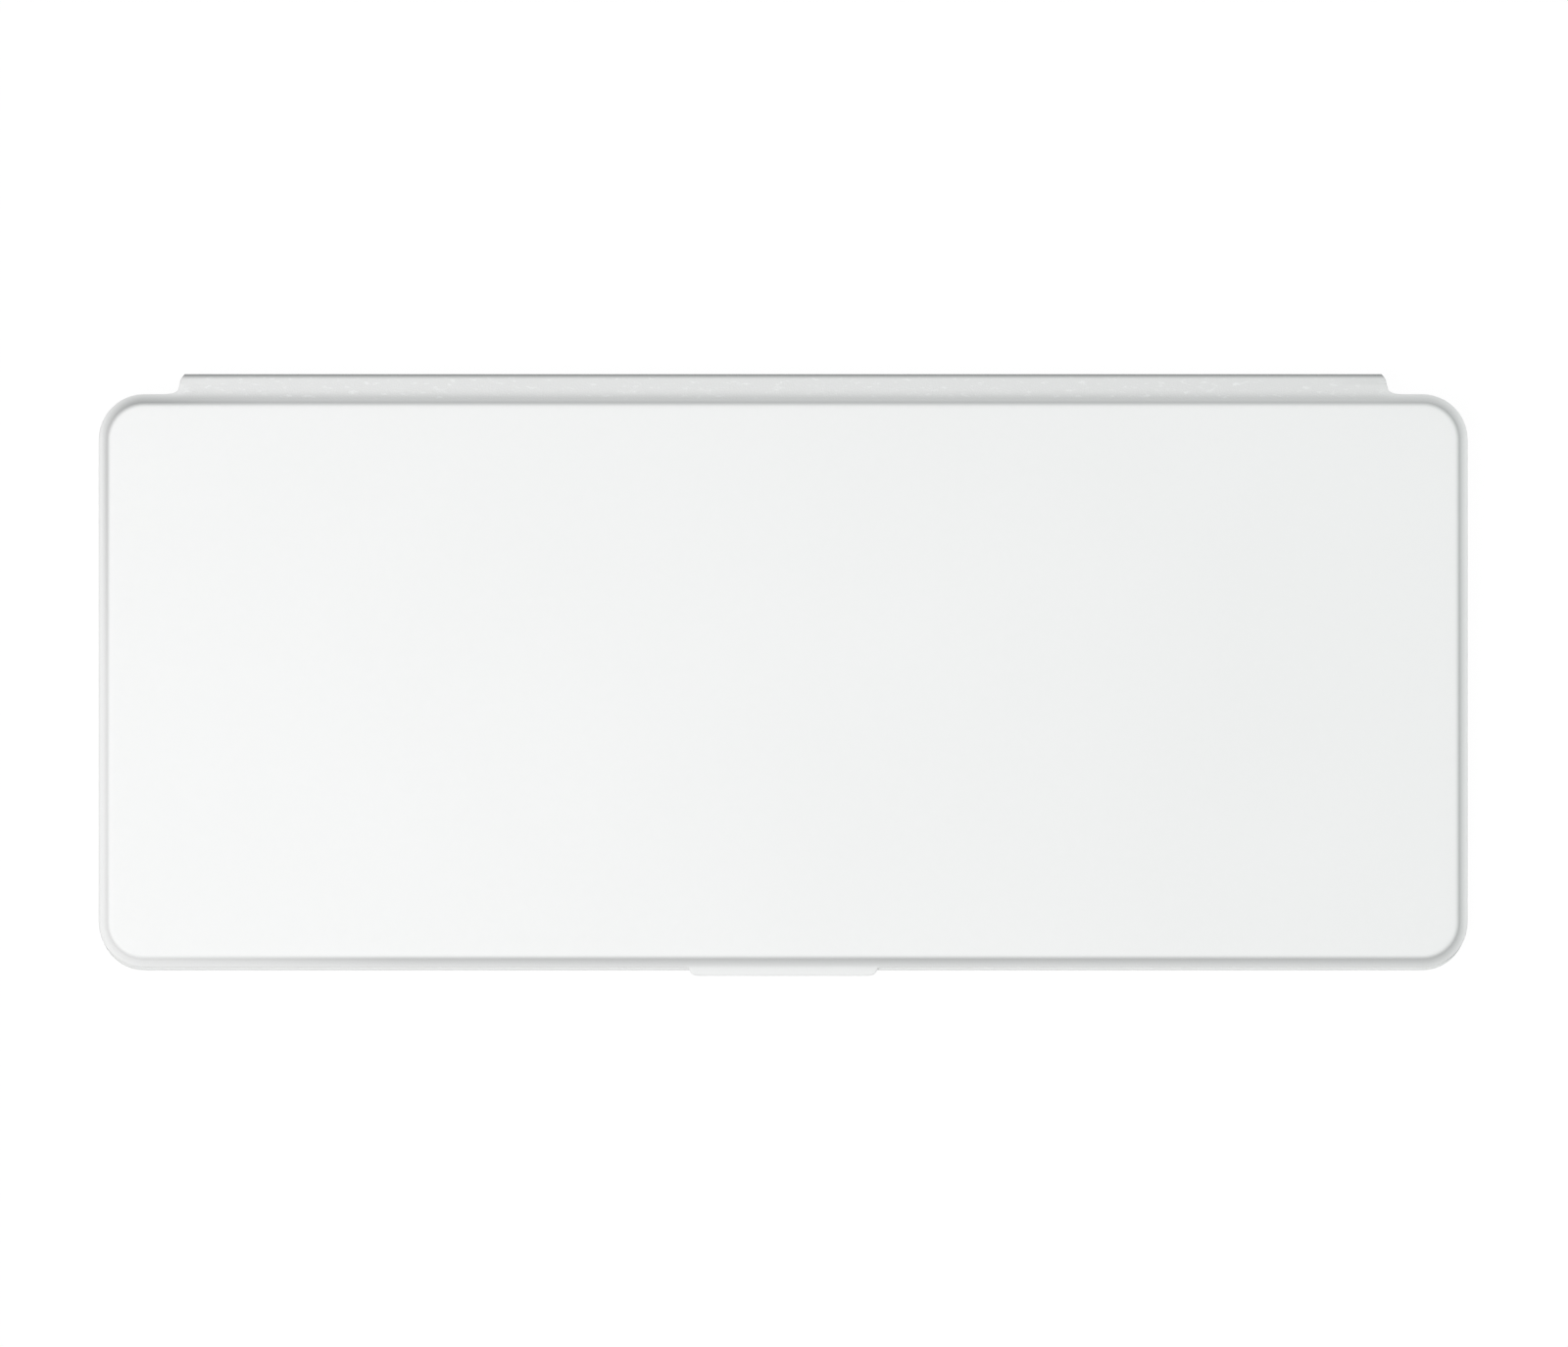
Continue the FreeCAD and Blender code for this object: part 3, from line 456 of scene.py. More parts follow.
# each tongue: its half width at each distance out from the cover's edge
stripSides = ((0.0, 113.5), (0.04, 112.7), (0.15, 111.96), (0.36, 111.4), (0.58, 111.03), (0.82, 110.85),
              (1.1, 110.77), (1.45, 110.68), (1.85, 110.58))
lipSides = ((0.0, 18.1), (0.03, 17.62), (0.13, 17.36), (0.34, 17.24), (0.7, 17.08), (0.98, 16.93),
            (1.2, 16.7), (1.38, 16.3), (1.5, 15.5))


def spread(low, high, count):
    return [low + (high - low) * i / (count - 1) for i in range(count)]


def ringColumns(look):  # places round the panel with the way out at each, and the grid inside them
    reachX = look["halfWidth"] - look["corner"]
    reachY = look["depth"] / 2 - look["corner"]
    # closest together where the lip and the strip begin
    half = spread(0, 12, 3) + [14.4, 15.5, 16.3, 16.7, 16.95, 17.25, 17.62, 18.1, 19.4]
    half += spread(24, 106, 15) + [108.5, 109.7, 110.4, 110.9, 111.4, 111.96, 112.7, 113.5, 115.2]
    xs = [-x for x in reversed(half[1:])] + half
    ys = spread(-reachY, reachY, look["sideSteps"])[1:-1]
    turn = [math.radians(angle) for angle in spread(0, 90, look["cornerSteps"] + 1)]
    columns = [(reachX, y, 1.0, 0.0) for y in ys]
    columns += [(reachX, reachY, math.cos(a), math.sin(a)) for a in turn]
    columns += [(x, reachY, 0.0, 1.0) for x in reversed(xs)]
    columns += [(-reachX, reachY, -math.sin(a), math.cos(a)) for a in turn]
    columns += [(-reachX, y, -1.0, 0.0) for y in reversed(ys)]
    columns += [(-reachX, -reachY, -math.cos(a), -math.sin(a)) for a in turn]
    columns += [(x, -reachY, 0.0, -1.0) for x in xs]
    columns += [(reachX, -reachY, math.sin(a), -math.cos(a)) for a in turn]
    return columns, [-reachX] + xs + [reachX], [-reachY] + ys + [reachY]


columns, gridX, gridY = ringColumns(coverLook)
panelRound = coverLook["corner"] - coverLook["rim"]
coverMiddle = -coverLook["depth"] / 2


def columnPlace(column, out):  # a place on a column, this far out from the panel's line
    x, y, nx, ny = column
    return x + nx * (panelRound + out), coverMiddle + y + ny * (panelRound + out)


def middleGrid(sheet, z):
    found = {}
    for y in gridY:
        for x in gridX:
            found[x, y] = sheet.point(x, coverMiddle + y, z)
    for y0, y1 in zip(gridY, gridY[1:]):
        for x0, x1 in zip(gridX, gridX[1:]):
            sheet.face([found[x0, y0], found[x1, y0], found[x1, y1], found[x0, y1]])
    return [found[column[0], column[1]] for column in columns]


def rearShare(x, ny):  # 1 over the strip, 0 elsewhere
    return 1 - ease(abs(x), *coverLook["stripFade"]) if ny > square else 0.0


tongues = ((stripSides, 1), (lipSides, -1))  # 1 at the back, -1 in front


def rootOf(sides, outward):  # half the tongue's width where it leaves the cover, and where that is
    return sides[0][1], outward * coverLook["depth"] / 2 + coverMiddle


def tongueOf(column, sides, outward):
    return column[3] * outward > square and abs(column[0]) < sides[0][1] + near


def tongueX(x, half, root):  # where a column runs as the tongue narrows from root to half
    hold = root * coverLook["tongueHold"]
    if abs(x) <= hold:
        return x
    return math.copysign(hold + (abs(x) - hold) * (half - hold) / (root - hold), x)


stripSeam = rootOf(stripSides, 1)[1] + stripSides[-1][0]


def onSeam(place):
    return abs(place[1] - stripSeam) < near


def coverOutline():  # the cover's edge in order, and each point's way out, with none along the seam
    line = []
    for i, column in enumerate(columns):
        x = column[0]
        for sides, outward in tongues:
            if not tongueOf(column, sides, outward):
                continue
            root, edge = rootOf(sides, outward)
            if abs(abs(x) - root) < near:
                side = math.copysign(1, x)
                climb = [(side * half, edge + outward * far, (m, i))
                         for m, (far, half) in enumerate(sides)]
                line += climb if side * outward > 0 else reversed(climb)
            else:
                far, half = sides[-1]
                line.append((tongueX(x, half, root), edge + outward * far, (len(sides) - 1, i)))
            break
        else:
            line.append((*columnPlace(column, coverLook["rim"]), (0, i)))
    ways = []
    for i, here in enumerate(line):
        before, after = line[i - 1], line[(i + 1) % len(line)]
        if onSeam(here):
            before, after = [here if onSeam(place) else place for place in (before, after)]
        along = Vector((after[0] - before[0], after[1] - before[1])).normalized()
        ways.append((along.y, -along.x))
    return line, ways


outlinePlaces, outlineWays = coverOutline()
edgeWays = {key: way for (_, _, key), way in zip(outlinePlaces, outlineWays)}


def coverLayer(sheet, rows, heightAt, marksAt, inset):
    # One face of the cover, from its middle out to a loop along its edge.
    found = {}

    def put(row, i, x, y, out):  # a point of column i, drawn in where it is on the outline
        column = columns[i]
        share = rearShare(x, column[3])
        wx, wy = edgeWays.get((row, i), (0.0, 0.0))
        x, y = x - wx * inset, y - wy * inset
        found[row, i] = sheet.point(
            x, y, heightAt(out, share, column[3]), *marksAt(x, y, out, share, column))
        return found[row, i]

    def ringAt(out, row=None):
        return [put(row, i, *columnPlace(column, out), out) for i, column in enumerate(columns)]

    ring = middleGrid(sheet, heightAt(rows[0], 0.0, 0.0))
    for out in rows[1:]:
        ring = sheet.join(ring, ringAt(out))
    rim = coverLook["rim"]
    sheet.join(ring, ringAt(rim, 0))
    for sides, outward in tongues:
        base = [i for i, column in enumerate(columns) if tongueOf(column, sides, outward)]
        root, edge = rootOf(sides, outward)
        for m, (far, half) in enumerate(sides[1:], 1):
            for i in base:
                put(m, i, tongueX(columns[i][0], half, root), edge + outward * far, rim + far)
            sheet.join([found[m - 1, i] for i in base], [found[m, i] for i in base], closed=False)
    return [found[key] for _, _, key in outlinePlaces]


def makeCover(look):
    sheet = Sheet()

    def topHeight(out, share, ny):
        plain = readOff(look["sweep"], out)
        plain += (readOff(look["frontSweep"], out) - plain) * abs(ny)
        return plain + (readOff(look["rearSweep"], out) - plain) * share

    def topMarks(x, y, out, share, column):
        nx, ny = column[2:]
        # painted shade along the groove round the panel, deepest on the line and stronger at the back and right
        inward = ease(-out, *look["paintedShadeIn"])
        outward = ease(out, 0.0, look["paintedShadeOut"] + abs(ny))
        depth = nx * nx * readOff(look["paintedShadeRight" if nx > 0 else "paintedShadeLeft"], y)
        depth += ny * ny * readOff(look["paintedShadeBack" if ny > 0 else "paintedShadeFront"], x)
        grain = look["flangeGrain"] + (1 - look["flangeGrain"]) * share
        return ((1 - inward) * (1 - outward) ** look["paintedShadeFall"] * depth,
                ease(out, *look["grainRise"]) * grain)

    pocket = -look["pocketInset"]

    def bottomHeight(out, share, ny):
        if out < pocket - near:
            return look["pocketTop"]
        low = look["skinBottom"]
        drop = (look["tongueBottom"] - low) * ease(abs(ny) * out, *look["tongueDrop"])
        if ny > 0:
            return low + drop * share
        return low + drop if out > look["rim"] + near else low

    topRows = [-panelRound, *look["panelRows"]]
    topRows += [out for out, _ in look["sweep"] if out < look["rim"]]
    top = coverLayer(sheet, topRows, topHeight, topMarks, look["rimEdge"])
    bottomRows = [-panelRound, pocket - look["pocketRun"], pocket, *look["tongueDrop"]]
    bottom = coverLayer(
        sheet, bottomRows, bottomHeight, lambda *place: (0.0, look["underGrain"]), look["rimEdge"])

    def roundedLoop(base, degrees, down):  # one loop of the rounding between the two faces
        out = look["rimEdge"] * math.sin(math.radians(degrees))
        drop = down * look["rimEdge"] * (1 - math.cos(math.radians(degrees)))
        loop = []
        for index, (wx, wy) in zip(base, outlineWays):
            x, y, z = sheet.points[index]
            loop.append(sheet.point(x + wx * out, y + wy * out, z - drop, 0.0, sheet.grain[index]))
        return loop

    loops = [top] + [roundedLoop(top, degrees, 1.0) for degrees in (25, 50, 75, 90)]
    loops += [roundedLoop(bottom, degrees, -look["underEdge"]) for degrees in (90, 60, 30)] + [bottom]
    sheet.wrap(loops, ends=False)
    return sheet.piece("cover_sheet", coverCoating)


coverSheet = makeCover(coverLook)
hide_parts("cover_skin")
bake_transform(coverSheet)
print("cover made:", len(coverSheet.data.polygons), "faces")

# The lining: a thin napped cloth under the cover, with a pressed line near its edge.
liningShape = {
    "edge": 1.22, "rearDraw": 0.5, "bottom": -0.8, "top": -0.5,
    "pressedAt": -1.05, "pressedDepth": 0.07, "pressedHalf": 0.35, "floorHalf": 0.15,
    "shoulder": 0.35,  # how high the pressed line's shoulders are, as a share of its depth
    # the rounding of the lower edge: how far in and how far up
    "edgeRound": ((0.12, 0.0), (0.04, 0.03), (0.0, 0.12))}


def makeLining(look):
    sheet = Sheet()
    low, line, deep = look["bottom"], look["pressedAt"], look["pressedDepth"]
    wide, narrow, shoulder = look["pressedHalf"], look["floorHalf"], low + look["shoulder"] * deep
    rows = [(-panelRound, low), (-3.0, low), (line - wide, low), (line - narrow, shoulder),
            (line, low + deep), (line + narrow, shoulder), (line + wide, low), (0.3, low)]
    ring = middleGrid(sheet, low)
    for out, z in rows[1:]:
        ring = sheet.join(ring, [sheet.point(*columnPlace(column, out), z) for column in columns])
    for inward, rise in (*look["edgeRound"], (0.0, look["top"] - low)):
        outs = [look["edge"] - look["rearDraw"] * max(0.0, column[3]) - inward for column in columns]
        ring = sheet.join(ring, [sheet.point(*columnPlace(column, out), low + rise)
                                 for column, out in zip(columns, outs)])
    sheet.join(ring, middleGrid(sheet, look["top"]))
    return sheet.piece("cover_lining_cloth", liningCloth)


coverLining = makeLining(liningShape)
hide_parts("cover_lining")
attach(coverLining, "cover")
print("lining made")

# The hinge: one coated strip from under the case, up the spine and over to the cover, in two lengths
# that meet on flat stretches.
hingeLook = {
    "thickness": 0.73, "bend": 0.9, "edge": 0.14, "endHalf": 109.74,
    "tipSides": ((1.85, 110.58), (2.0, 110.55), (2.68, 110.4), (3.0, 110.22), (3.4, 109.97),
                 (3.7, 109.74)),
    "anchorStations": (-6.2, -3.0, 0.0, 2.0, 2.5), "topStations": (2.6, 2.35, 2.1),
    "spineStep": 0.9, "bendGap": 0.3, "acrossSteps": 23, "bendSteps": 13, "foldReach": 0.62,
    # painted shade on the roll at the far edge, which turns away from the light, and on the lower bend, and how
    # far round the bend it begins from each side
    "paintedShade": 0.95, "rollBack": 0.94, "rollUp": 0.15}
topLevel = coverLook["rearSweep"][-1][1]
lowerCrease = foldLine("cover_spine_fold")
upperCrease = foldLine("cover_strip_fold")


def makeHingeSkin(name, stations, look):  # stations: (y, z, way out in y, way out in z, half width)
    sheet = Sheet()
    edge, thick = look["edge"], look["thickness"]
    arc = [math.radians(degrees) for degrees in (30, 60, 90)]
    rings = []
    for y, z, wy, wz, half in stations:
        flat = spread(edge - half, half - edge, look["acrossSteps"])
        rounded = [(half - edge + edge * math.sin(a), edge * (1 - math.cos(a))) for a in arc]
        cut = [(x, 0.0) for x in flat] + rounded
        cut += [(x, thick - deep) for x, deep in reversed(cut)]
        cut += [(-x, thick - deep) for x, deep in rounded]
        cut += [(-x, deep) for x, deep in reversed(rounded)]
        # painted shade on the strip's bends, none where it runs flat
        rollShade = look["paintedShade"] * ease(abs(wy), 0.0, look["rollBack"])
        rollShade *= ease(abs(wz), 0.0, look["rollUp"])
        rings.append([sheet.point(x, y - wy * deep, z - wz * deep, rollShade, 1.0) for x, deep in cut])
    sheet.wrap(rings)
    return sheet.piece(name, coverCoating)


def bendStations(middleY, middleZ, radius, start, end, count, halfAt):
    found = []
    for degrees in spread(start, end, count):
        a = math.radians(degrees)
        y = middleY + radius * math.cos(a)
        found.append((y, middleZ + radius * math.sin(a), math.cos(a), math.sin(a), halfAt(y)))
    return found


def makeHinge(look):
    back, low = upperCrease.y, lowerCrease.z
    middle = (low + upperCrease.z) / 2  # where the two skins meet on the spine
    radius, half, step = look["bend"], look["endHalf"], look["spineStep"]

    def tipHalf(y):
        return readOff(look["tipSides"], y)

    upper = [(back, middle + k * step, 1.0, 0.0, half) for k in (0, 1, 2)]
    upper.append((back, topLevel - radius - look["bendGap"], 1.0, 0.0, half))
    upper += bendStations(back - radius, topLevel - radius, radius, 0, 90, look["bendSteps"], tipHalf)
    upper += [(y, topLevel, 0.0, 1.0, tipHalf(y)) for y in (*look["topStations"], stripSeam)]
    lower = [(y, low, 0.0, -1.0, half) for y in look["anchorStations"]]
    lower += bendStations(back - radius, low + radius, radius, -90, 0, look["bendSteps"], lambda y: half)
    lower += [(back, middle - k * step, 1.0, 0.0, half) for k in (3, 2, 1, 0)]
    return makeHingeSkin("hinge_skin_upper", upper, look), makeHingeSkin("hinge_skin_lower", lower, look)


upperSkin, lowerSkin = makeHinge(hingeLook)
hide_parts("hinge_spine", "hinge_top_strip")
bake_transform(upperSkin)
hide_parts("hinge_anchor_strip")
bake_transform(lowerSkin)
print("hinge made")

# Printing on the keys
printLook = {
    "letterSize": 4.4, "pairSize": 3.3, "pairStep": 2.7, "wordSize": 2.7, "wordMargin": 2.1,
    "wordRise": 0.35, "symbolSize": 1.45, "ringRadii": (1.35, 1.2), "ringSize": 1.15, "ringDigit": 2.3,
    "lowKey": 10,  # a key less deep than this takes its word in the middle
    "rightFrom": 30,  # further right than this, words stand at a key's right
    "lift": 0.012, "thickness": 0.012, "weld": 2e-7}


def circle(x, y, radius, count=28, share=1.0, start=0.0, stretch=1.0):
    turns = [start + 2 * math.pi * share * i / count for i in range(count if share == 1 else count + 1)]
    return [(x + radius * stretch * math.cos(a), y + radius * math.sin(a)) for a in turns]


def bar(x0, y0, x1, y1, width):  # a straight stroke
    along = Vector((x1 - x0, y1 - y0)).normalized() * width / 2
    return [(x0 + along.y, y0 - along.x), (x1 + along.y, y1 - along.x),
            (x1 - along.y, y1 + along.x), (x0 - along.y, y0 + along.x)]


def bow(x, y, radius, width, low, high):  # part of a ring, between two angles
    share = (high - low) / 360
    outer = circle(x, y, radius + width / 2, 12, share, math.radians(low))
    return outer + list(reversed(circle(x, y, radius - width / 2, 12, share, math.radians(low))))


def sun(size, ray, gap=0.28, stroke=0.16):
    rays = []
    for i in range(8):
        a = math.pi * i / 4
        ends = [(reach * math.cos(a), reach * math.sin(a)) for reach in (size + gap, size + gap + ray)]
        rays.append([bar(*ends[0], *ends[1], stroke)])
    return [[circle(0, 0, size), circle(0, 0, size - stroke)]] + rays


def speaker(waves, crossed=False):
    body = [(-1.0, -0.3), (-0.62, -0.3), (-0.15, -0.75), (-0.15, 0.75), (-0.62, 0.3), (-1.0, 0.3)]
    layers = [[body]]
    layers += [[bow(-0.05, 0, 0.38 + 0.36 * i, 0.15, -42, 42)] for i in range(waves)]
    if crossed:
        layers += [[bar(0.2, -0.35, 0.9, 0.35, 0.15)], [bar(0.2, 0.35, 0.48, 0.07, 0.15)],
                   [bar(0.62, -0.07, 0.9, -0.35, 0.15)]]
    return layers


def arrow(turn):
    a = math.radians(turn)
    corners = [(0.85, 0.0), (-0.6, 0.8), (-0.6, -0.8)]
    cosine, sine = math.cos(a), math.sin(a)
    return [[[(x * cosine - y * sine, x * sine + y * cosine) for x, y in corners]]]


def skip(side):  # two wedges against a bar, 1 to the right
    wedges = [[[(side * x, 0), (side * (x - 0.8), 0.55), (side * (x - 0.8), -0.55)]] for x in (0.05, 0.9)]
    return wedges + [[bar(side, -0.55, side, 0.55, 0.15)]]


symbols = {
    "dimmer": sun(0.5, 0.22), "brighter": sun(0.55, 0.42),
    "search": [[circle(-0.2, 0.2, 0.62), circle(-0.2, 0.2, 0.46)], [bar(0.24, -0.24, 0.85, -0.85, 0.2)]],
    "globe": [[circle(0, 0, 0.95), circle(0, 0, 0.82)],
              [circle(0, 0, 0.82, stretch=0.52), circle(0, 0, 0.7, stretch=0.42)],
              [bar(-0.82, 0, -0.45, 0, 0.13)], [bar(0.45, 0, 0.82, 0, 0.13)],
              [bar(-0.28, 0, 0.28, 0, 0.13)]],
    "previous": skip(-1.0), "next": skip(1.0),
    "play": [[[(0.05, 0), (-0.9, 0.6), (-0.9, -0.6)]], [bar(0.35, -0.6, 0.35, 0.6, 0.22)],
             [bar(0.78, -0.6, 0.78, 0.6, 0.22)]],
    "mute": speaker(0, True), "quieter": speaker(1), "louder": speaker(2),
    "left": arrow(180), "up": arrow(90), "down": arrow(-90), "right": arrow(0)}
keyLabels = {
    "function_keys": ["esc", "(1)", "(2)", "(3)", "@dimmer", "@brighter", "@search", "@globe",
                      "@previous", "@play", "@next", "@mute", "@quieter", "@louder"],
    "number_keys": ["~ `", "! 1", "@ 2", "# 3", "$ 4", "% 5", "^ 6", "& 7", "* 8", "( 9", ") 0", "_ -",
                    "+ =", "delete"],
    "symbol_keys": ["{ [", "} ]", "| \\", ": ;", "\" '", "< ,", "> .", "? /"],
    "modifier_keys": ["tab", "caps lock", "return", "shift", "shift", "fn", "ctrl", "alt", "cmd", "cmd",
                      "alt"],
    "arrow_keys": ["@up", "@left", "@down", "@right"]}
for letter in "abcdefghijklmnopqrstuvwxyz":
    keyLabels["key_" + letter] = [letter.upper()]

rowStep = 3  # lumps whose middles are closer than about this, in y, are in one row
sameSpot = 0.001  # a lump's corners closer than this are one


def middleOf(low, high):
    return (low.x + high.x) / 2, (low.y + high.y) / 2


def lumpsOf(node):  # each lump in a node as low and high corners in deck millimetres, by rows
    work = bmesh.new()
    work.from_mesh(frame["nodes"][node].data)
    bmesh.ops.transform(work, matrix=toDeck, verts=work.verts)
    bmesh.ops.remove_doubles(work, verts=work.verts, dist=sameSpot)
    tree = BVHTree.FromBMesh(work)
    seen = set()
    boxes = []
    for first in work.verts:
        if first.index in seen:
            continue
        seen.add(first.index)
        waiting, group = [first], []
        while waiting:
            here = waiting.pop()
            group.append(here.co.copy())
            for link in here.link_edges:
                there = link.other_vert(here)
                if there.index not in seen:
                    seen.add(there.index)
                    waiting.append(there)
        boxes.append([Vector([pick(place[i] for place in group) for i in range(3)])
                      for pick in (min, max)])
    work.free()
    boxes.sort(key=lambda box: (-round(middleOf(*box)[1] / rowStep), box[0].x))
    return boxes, tree


def flatShape(curve, thickness):  # a curve's or a text's filled shape as points and faces
    curve.dimensions = "2D"
    curve.fill_mode = "BOTH"
    curve.extrude = thickness / 2
    holder = bpy.data.objects.new("drawing", curve)
    mesh = bpy.data.meshes.new_from_object(holder)
    points = [vertex.co.copy() for vertex in mesh.vertices]
    faces = [list(polygon.vertices) for polygon in mesh.polygons]
    bpy.data.objects.remove(holder)
    bpy.data.meshes.remove(mesh)
    return points, faces


def written(text, size, alignX, thickness):
    curve = bpy.data.curves.new("drawing", "FONT")
    curve.body = text
    curve.size = size
    curve.align_x = alignX
    curve.align_y = "CENTER"
    curve.resolution_u = 4
    return [flatShape(curve, thickness)]


def drawnShape(layers, size, thickness):
    made = []
    for loops in layers:
        curve = bpy.data.curves.new("drawing", "CURVE")
        for loop in loops:
            line = curve.splines.new("POLY")
            line.points.add(len(loop) - 1)
            for point, (x, y) in zip(line.points, loop):
                point.co = (x * size, y * size, 0, 1)
            line.use_cyclic_u = True
        made.append(flatShape(curve, thickness))
    return made


def labelShapes(label, low, high, look):  # what is printed on one key: shapes with their middles
    x, y = middleOf(low, high)
    thick = look["thickness"]

    def word(text, size, u=x, v=y, side="CENTER"):
        return [(u, v, shape) for shape in written(text, look[size], side, thick)]

    def sign(layers, size):
        return [(x, y, shape) for shape in drawnShape(layers, look[size], thick)]

    if label[1:] in symbols:
        return sign(symbols[label[1:]], "symbolSize")
    if label.endswith(")"):  # a digit in a ring
        ring = [circle(0, 0, radius) for radius in look["ringRadii"]]
        return sign([ring], "ringSize") + word(label[1], "ringDigit")
    if len(label) == 1:
        return word(label, "letterSize")
    if len(label) == 3 and label[1] == " ":  # one sign above another
        step = look["pairStep"]
        return word(label[0], "pairSize", v=y + step) + word(label[2], "pairSize", v=y - step)
    if high.y - low.y < look["lowKey"]:
        return word(label, "wordSize")
    margin = look["wordMargin"]
    place, side = (high.x - margin, "RIGHT") if x > look["rightFrom"] else (low.x + margin, "LEFT")
    return word(label, "wordSize", place, low.y + margin + look["wordSize"] * look["wordRise"], side)


def bodyOf(node):
    return next(body for body, nodes in frame["record"]["behaviour"]["bodies"].items() if node in nodes)


def makePrinting(node, labels, look):
    boxes, tree = lumpsOf(node)
    points, faces = [], []
    for label, (low, high) in zip(labels, boxes):
        for x, y, (outline, loops) in labelShapes(label, low, high, look):
            start = len(points)
            for place in outline:
                at = Vector((x + place.x, y + place.y, high.z + 5))  # well above the key, looking down
                hit = tree.ray_cast(at, Vector((0, 0, -1)))[0]
                level = (hit.z if hit else high.z) + look["lift"] + place.z
                points.append(onDeck(at.x, at.y, level))
            faces += [[start + i for i in loop] for loop in loops]
    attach(makePiece("print_" + node, points, faces, keyInk, look["weld"]), bodyOf(node))


for node, labels in sorted(keyLabels.items()):
    makePrinting(node, labels, printLook)
print("keys printed")

# Under each key: a rubber dome, two crossed frames and, under a wide key, a wire.
mechanismLook = {
    "bar": 0.8, "barThickness": 0.4, "chamfer": 0.09, "corner": 0.7, "pinRadius": 0.18, "pinReach": 0.15,
    "leastCorner": 0.1, "wireRadius": 0.3, "wireBend": 0.7, "keep": 0.2,
    "tubeSteps": 10, "domeSteps": 20, "cornerSteps": 4, "bendSteps": 6,
    # the dome's outline in shares of its radius and height: up the outside, then down the inside
    "dome": ((1.0, 0.0), (1.0, 0.08), (0.95, 0.14), (0.87, 0.3), (0.76, 0.55), (0.66, 0.78),
             (0.62, 0.93), (0.55, 1.0), (0.45, 0.76), (0.52, 0.66), (0.64, 0.42), (0.76, 0.2),
             (0.86, 0.0))}


def addTube(sheet, path, radius, count):
    rings = []
    turns = [2 * math.pi * k / count for k in range(count)]
    side = (path[1] - path[0]).orthogonal()
    for i, place in enumerate(path):
        along = (path[min(i + 1, len(path) - 1)] - path[max(i - 1, 0)]).normalized()
        side = (side - along * side.dot(along)).normalized()
        ring = [side * math.cos(turn) + along.cross(side) * math.sin(turn) for turn in turns]
        rings.append([sheet.point(*(place + way * radius)) for way in ring])
    sheet.wrap(rings)


def addDome(sheet, low, high, look):
    x, y = middleOf(low, high)
    radius = (high.x - low.x) / 2
    rings = []
    for share, rise in look["dome"]:
        ring = circle(x, y, radius * share, look["domeSteps"])
        rings.append([sheet.point(u, v, low.z + (high.z - low.z) * rise) for u, v in ring])
    crown = max(range(len(rings)), key=lambda i: look["dome"][i][1])
    for i in range(len(rings)):
        if i != crown:
            sheet.join(rings[i], rings[(i + 1) % len(rings)])
    sheet.face(rings[crown])
    sheet.face(rings[crown + 1])


def roundedRectangle(halfX, halfY, radius, steps):
    loop = []
    for turn, sx, sy in ((0, 1, 1), (90, -1, 1), (180, -1, -1), (270, 1, -1)):
        for degrees in spread(turn, turn + 90, steps + 1):
            a = math.radians(degrees)
            loop.append((sx * (halfX - radius) + radius * math.cos(a),
                         sy * (halfY - radius) + radius * math.sin(a)))
    return loop


def addFrame(sheet, low, high, look, rising):  # rising 1 leans up to the back, -1 up to the front
    middle = (low + high) / 2
    bar, half, cut = look["bar"], look["barThickness"] / 2, look["chamfer"]
    run = high.y - low.y
    lean = math.atan2(high.z - low.z - 2 * half, run)
    pinReach = look["pinReach"] if rising < 0 else 0.0
    halfX = (high.x - low.x) / 2 - pinReach
    halfY = (run - 2 * half * math.sin(lean)) / math.cos(lean) / 2
    section = [(0, cut - half), (0, half - cut), (cut, half), (bar - cut, half), (bar, half - cut),
               (bar, cut - half), (bar - cut, -half), (cut, -half)]
    loops = []
    for inward, up in section:
        corner = max(look["corner"] - inward, look["leastCorner"])
        loop = roundedRectangle(halfX - inward, halfY - inward, corner, look["cornerSteps"])
        loops.append([sheet.point(
            middle.x + u, middle.y + v * math.cos(lean) - up * rising * math.sin(lean),
            middle.z + v * rising * math.sin(lean) + up * math.cos(lean)) for u, v in loop])
    for i, loop in enumerate(loops):
        sheet.join(loop, loops[(i + 1) % len(loops)])
    for side in (-1, 1) if pinReach else ():
        ends = [middle + Vector((side * far, 0, 0)) for far in (halfX - bar / 2, halfX + pinReach)]
        addTube(sheet, ends, look["pinRadius"], look["tubeSteps"])


def addWire(sheet, low, high, look):
    radius, bend = look["wireRadius"], look["wireBend"]
    left, right = low.x + radius, high.x - radius
    back, front = high.y - radius, low.y + radius
    corners = [Vector((left, front, low.z + radius)), Vector((left, back, high.z - radius)),
               Vector((right, back, high.z - radius)), Vector((right, front, low.z + radius))]
    path = [corners[0]]
    for before, corner, after in zip(corners, corners[1:], corners[2:]):
        start = corner + (before - corner).normalized() * bend
        end = corner + (after - corner).normalized() * bend
        steps = spread(0, 1, look["bendSteps"])
        path += [start.lerp(corner, t).lerp(corner.lerp(end, t), t) for t in steps]
    addTube(sheet, path + [corners[-1]], radius, look["tubeSteps"])


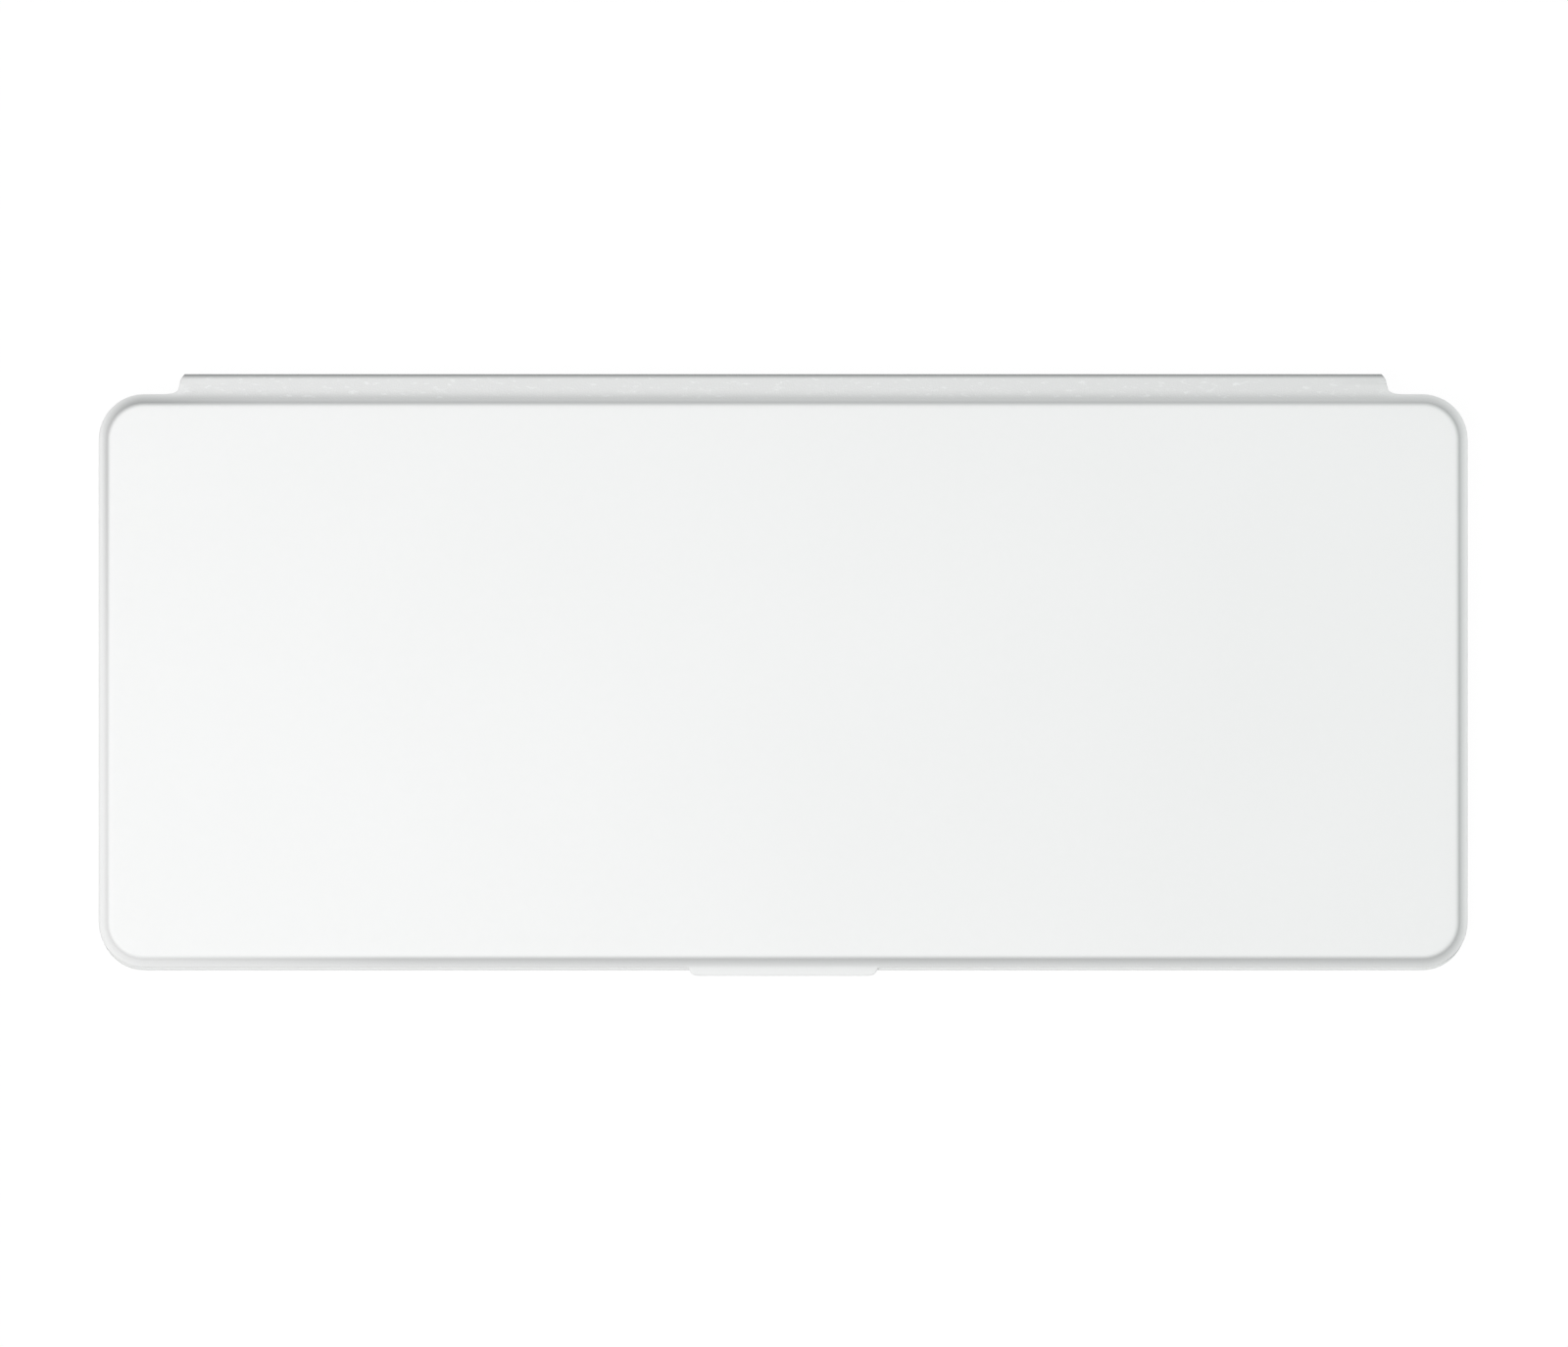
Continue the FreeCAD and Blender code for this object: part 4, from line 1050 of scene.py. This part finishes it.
def makeMechanisms(look):
    caps = {node: lumpsOf(node)[0] for node in (*keyLabels, "key_space")}

    def keyOver(box):
        x, y = middleOf(*box)
        return next(node for node, boxes in caps.items()
                    for low, high in boxes if low.x < x < high.x and low.y < y < high.y)

    found = {}
    kinds = (("rubber_domes", "domes", addDome), ("scissor_outer_frames", "frames", addFrame, 1),
             ("scissor_inner_frames", "frames", addFrame, -1), ("stabiliser_bars", "wires", addWire))
    for node, kind, add, *lean in kinds:
        for box in lumpsOf(node)[0]:
            sheet, stoodFor = found.setdefault((kind, keyOver(box)), (Sheet(), set()))
            add(sheet, *box, look, *lean)
            stoodFor.add(node)
    finishes = {"domes": ("rubber_domes", "dome_rubber"), "wires": ("stabiliser_bars", "wire_steel"),
                "frames": ("scissor_outer_frames", "scissor_plastic")}
    for (kind, key), (sheet, stoodFor) in sorted(found.items(), key=lambda item: item[0]):
        node, slot = finishes[kind]
        piece = sheet.piece(kind + "_" + key, nodeFinishes[node])
        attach(piece, "base")
        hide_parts(*sorted(stoodFor))
        joint = next(joint["name"] for joint in frame["joints"] if joint["child"] == bodyOf(key))
        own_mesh(piece)
    return len(found)


print("mechanisms made:", makeMechanisms(mechanismLook))

# The table, the lamps and the camera
stageLook = {
    "tableSize": 4.0, "tableSides": 48, "tableDrop": 0.0001, "tableColour": tone(152, 152, 152),
    "tableShare": 0.88, "tableGlow": 1.11,  # how much of the table only glows, and how brightly
    "worldLevel": 0.36, "lampAim": (0.0, 0.0, 0.0),
    # each lamp's place, size, watts and colour
    "lamps": {"softbox": ((-0.42, -0.25, 1.5), 0.9, 13.85, (1.0, 1.0, 1.0)),
              "fill": ((0.6, 0.1, 0.5), 0.6, 0.7, (0.82, 1.0, 0.95))}}


def makeTable(look):
    sides = look["tableSides"]
    mesh = bpy.data.meshes.new("table")
    ring = [(x, y, 0) for x, y in circle(0, 0, look["tableSize"] / 2, sides)]
    mesh.from_pydata(ring, [], [list(range(sides))])
    paint = Paint("tableWhite")
    plain = paint.add("BsdfDiffuse", None, {"Color": look["tableColour"]})
    glow = paint.add("Emission", None, {"Color": (1, 1, 1, 1), "Strength": look["tableGlow"]})
    both = paint.add("MixShader", None, {0: paint.shown() * look["tableShare"], 1: plain, 2: glow})
    paint.add("OutputMaterial", None, {"Surface": both})
    mesh.materials.append(paint.holder)
    table = inScene("table", mesh)
    table.location.z = -look["tableDrop"]


def makeLamp(name, aim, place, size, watts, colour):
    lamp = bpy.data.lights.new(name, "AREA")
    lamp.shape = "DISK"
    lamp.size = size
    lamp.energy = watts
    lamp.color = colour
    holder = inScene(name, lamp)
    holder.location = place
    holder.rotation_euler = (Vector(aim) - Vector(place)).to_track_quat("-Z", "Y").to_euler()


def makeWorld(level):  # plain white to look at, and dimmer as a light
    paint = Paint("room", bpy.data.worlds)
    dim = paint.add("Background", None, {"Color": (1, 1, 1, 1), "Strength": level})
    white = paint.add("Background", None, {"Color": (1, 1, 1, 1), "Strength": 1.0})
    both = paint.add("MixShader", None, {0: paint.shown(), 1: dim, 2: white})
    paint.add("OutputWorld", None, {"Surface": both})
    bpy.context.scene.world = paint.holder


cameraLook = {
    "distance": 2.6, "widthInPhoto": 1397, "photoWidth": 1600, "aim": (0.15, -51.15, 0.3),
    "sensor": 36, "farEnd": 20}


def makeCamera(look):
    camera = bpy.data.cameras.new("camera")
    seenWidth = 2 * coverLook["halfWidth"] / perMetre * look["photoWidth"] / look["widthInPhoto"]
    camera.sensor_width = look["sensor"]
    camera.lens = look["sensor"] * look["distance"] / seenWidth
    camera.clip_end = look["farEnd"]
    holder = inScene("camera", camera)
    holder.matrix_world = Matrix.Translation(onDeck(*look["aim"]) + deckUp * look["distance"]) @ deckTurn
    bpy.context.scene.camera = holder


makeTable(stageLook)
makeWorld(stageLook["worldLevel"])
for name, lamp in stageLook["lamps"].items():
    makeLamp(name, stageLook["lampAim"], *lamp)
makeCamera(cameraLook)
bpy.context.scene.view_settings.view_transform = "Standard"
print("stage set")
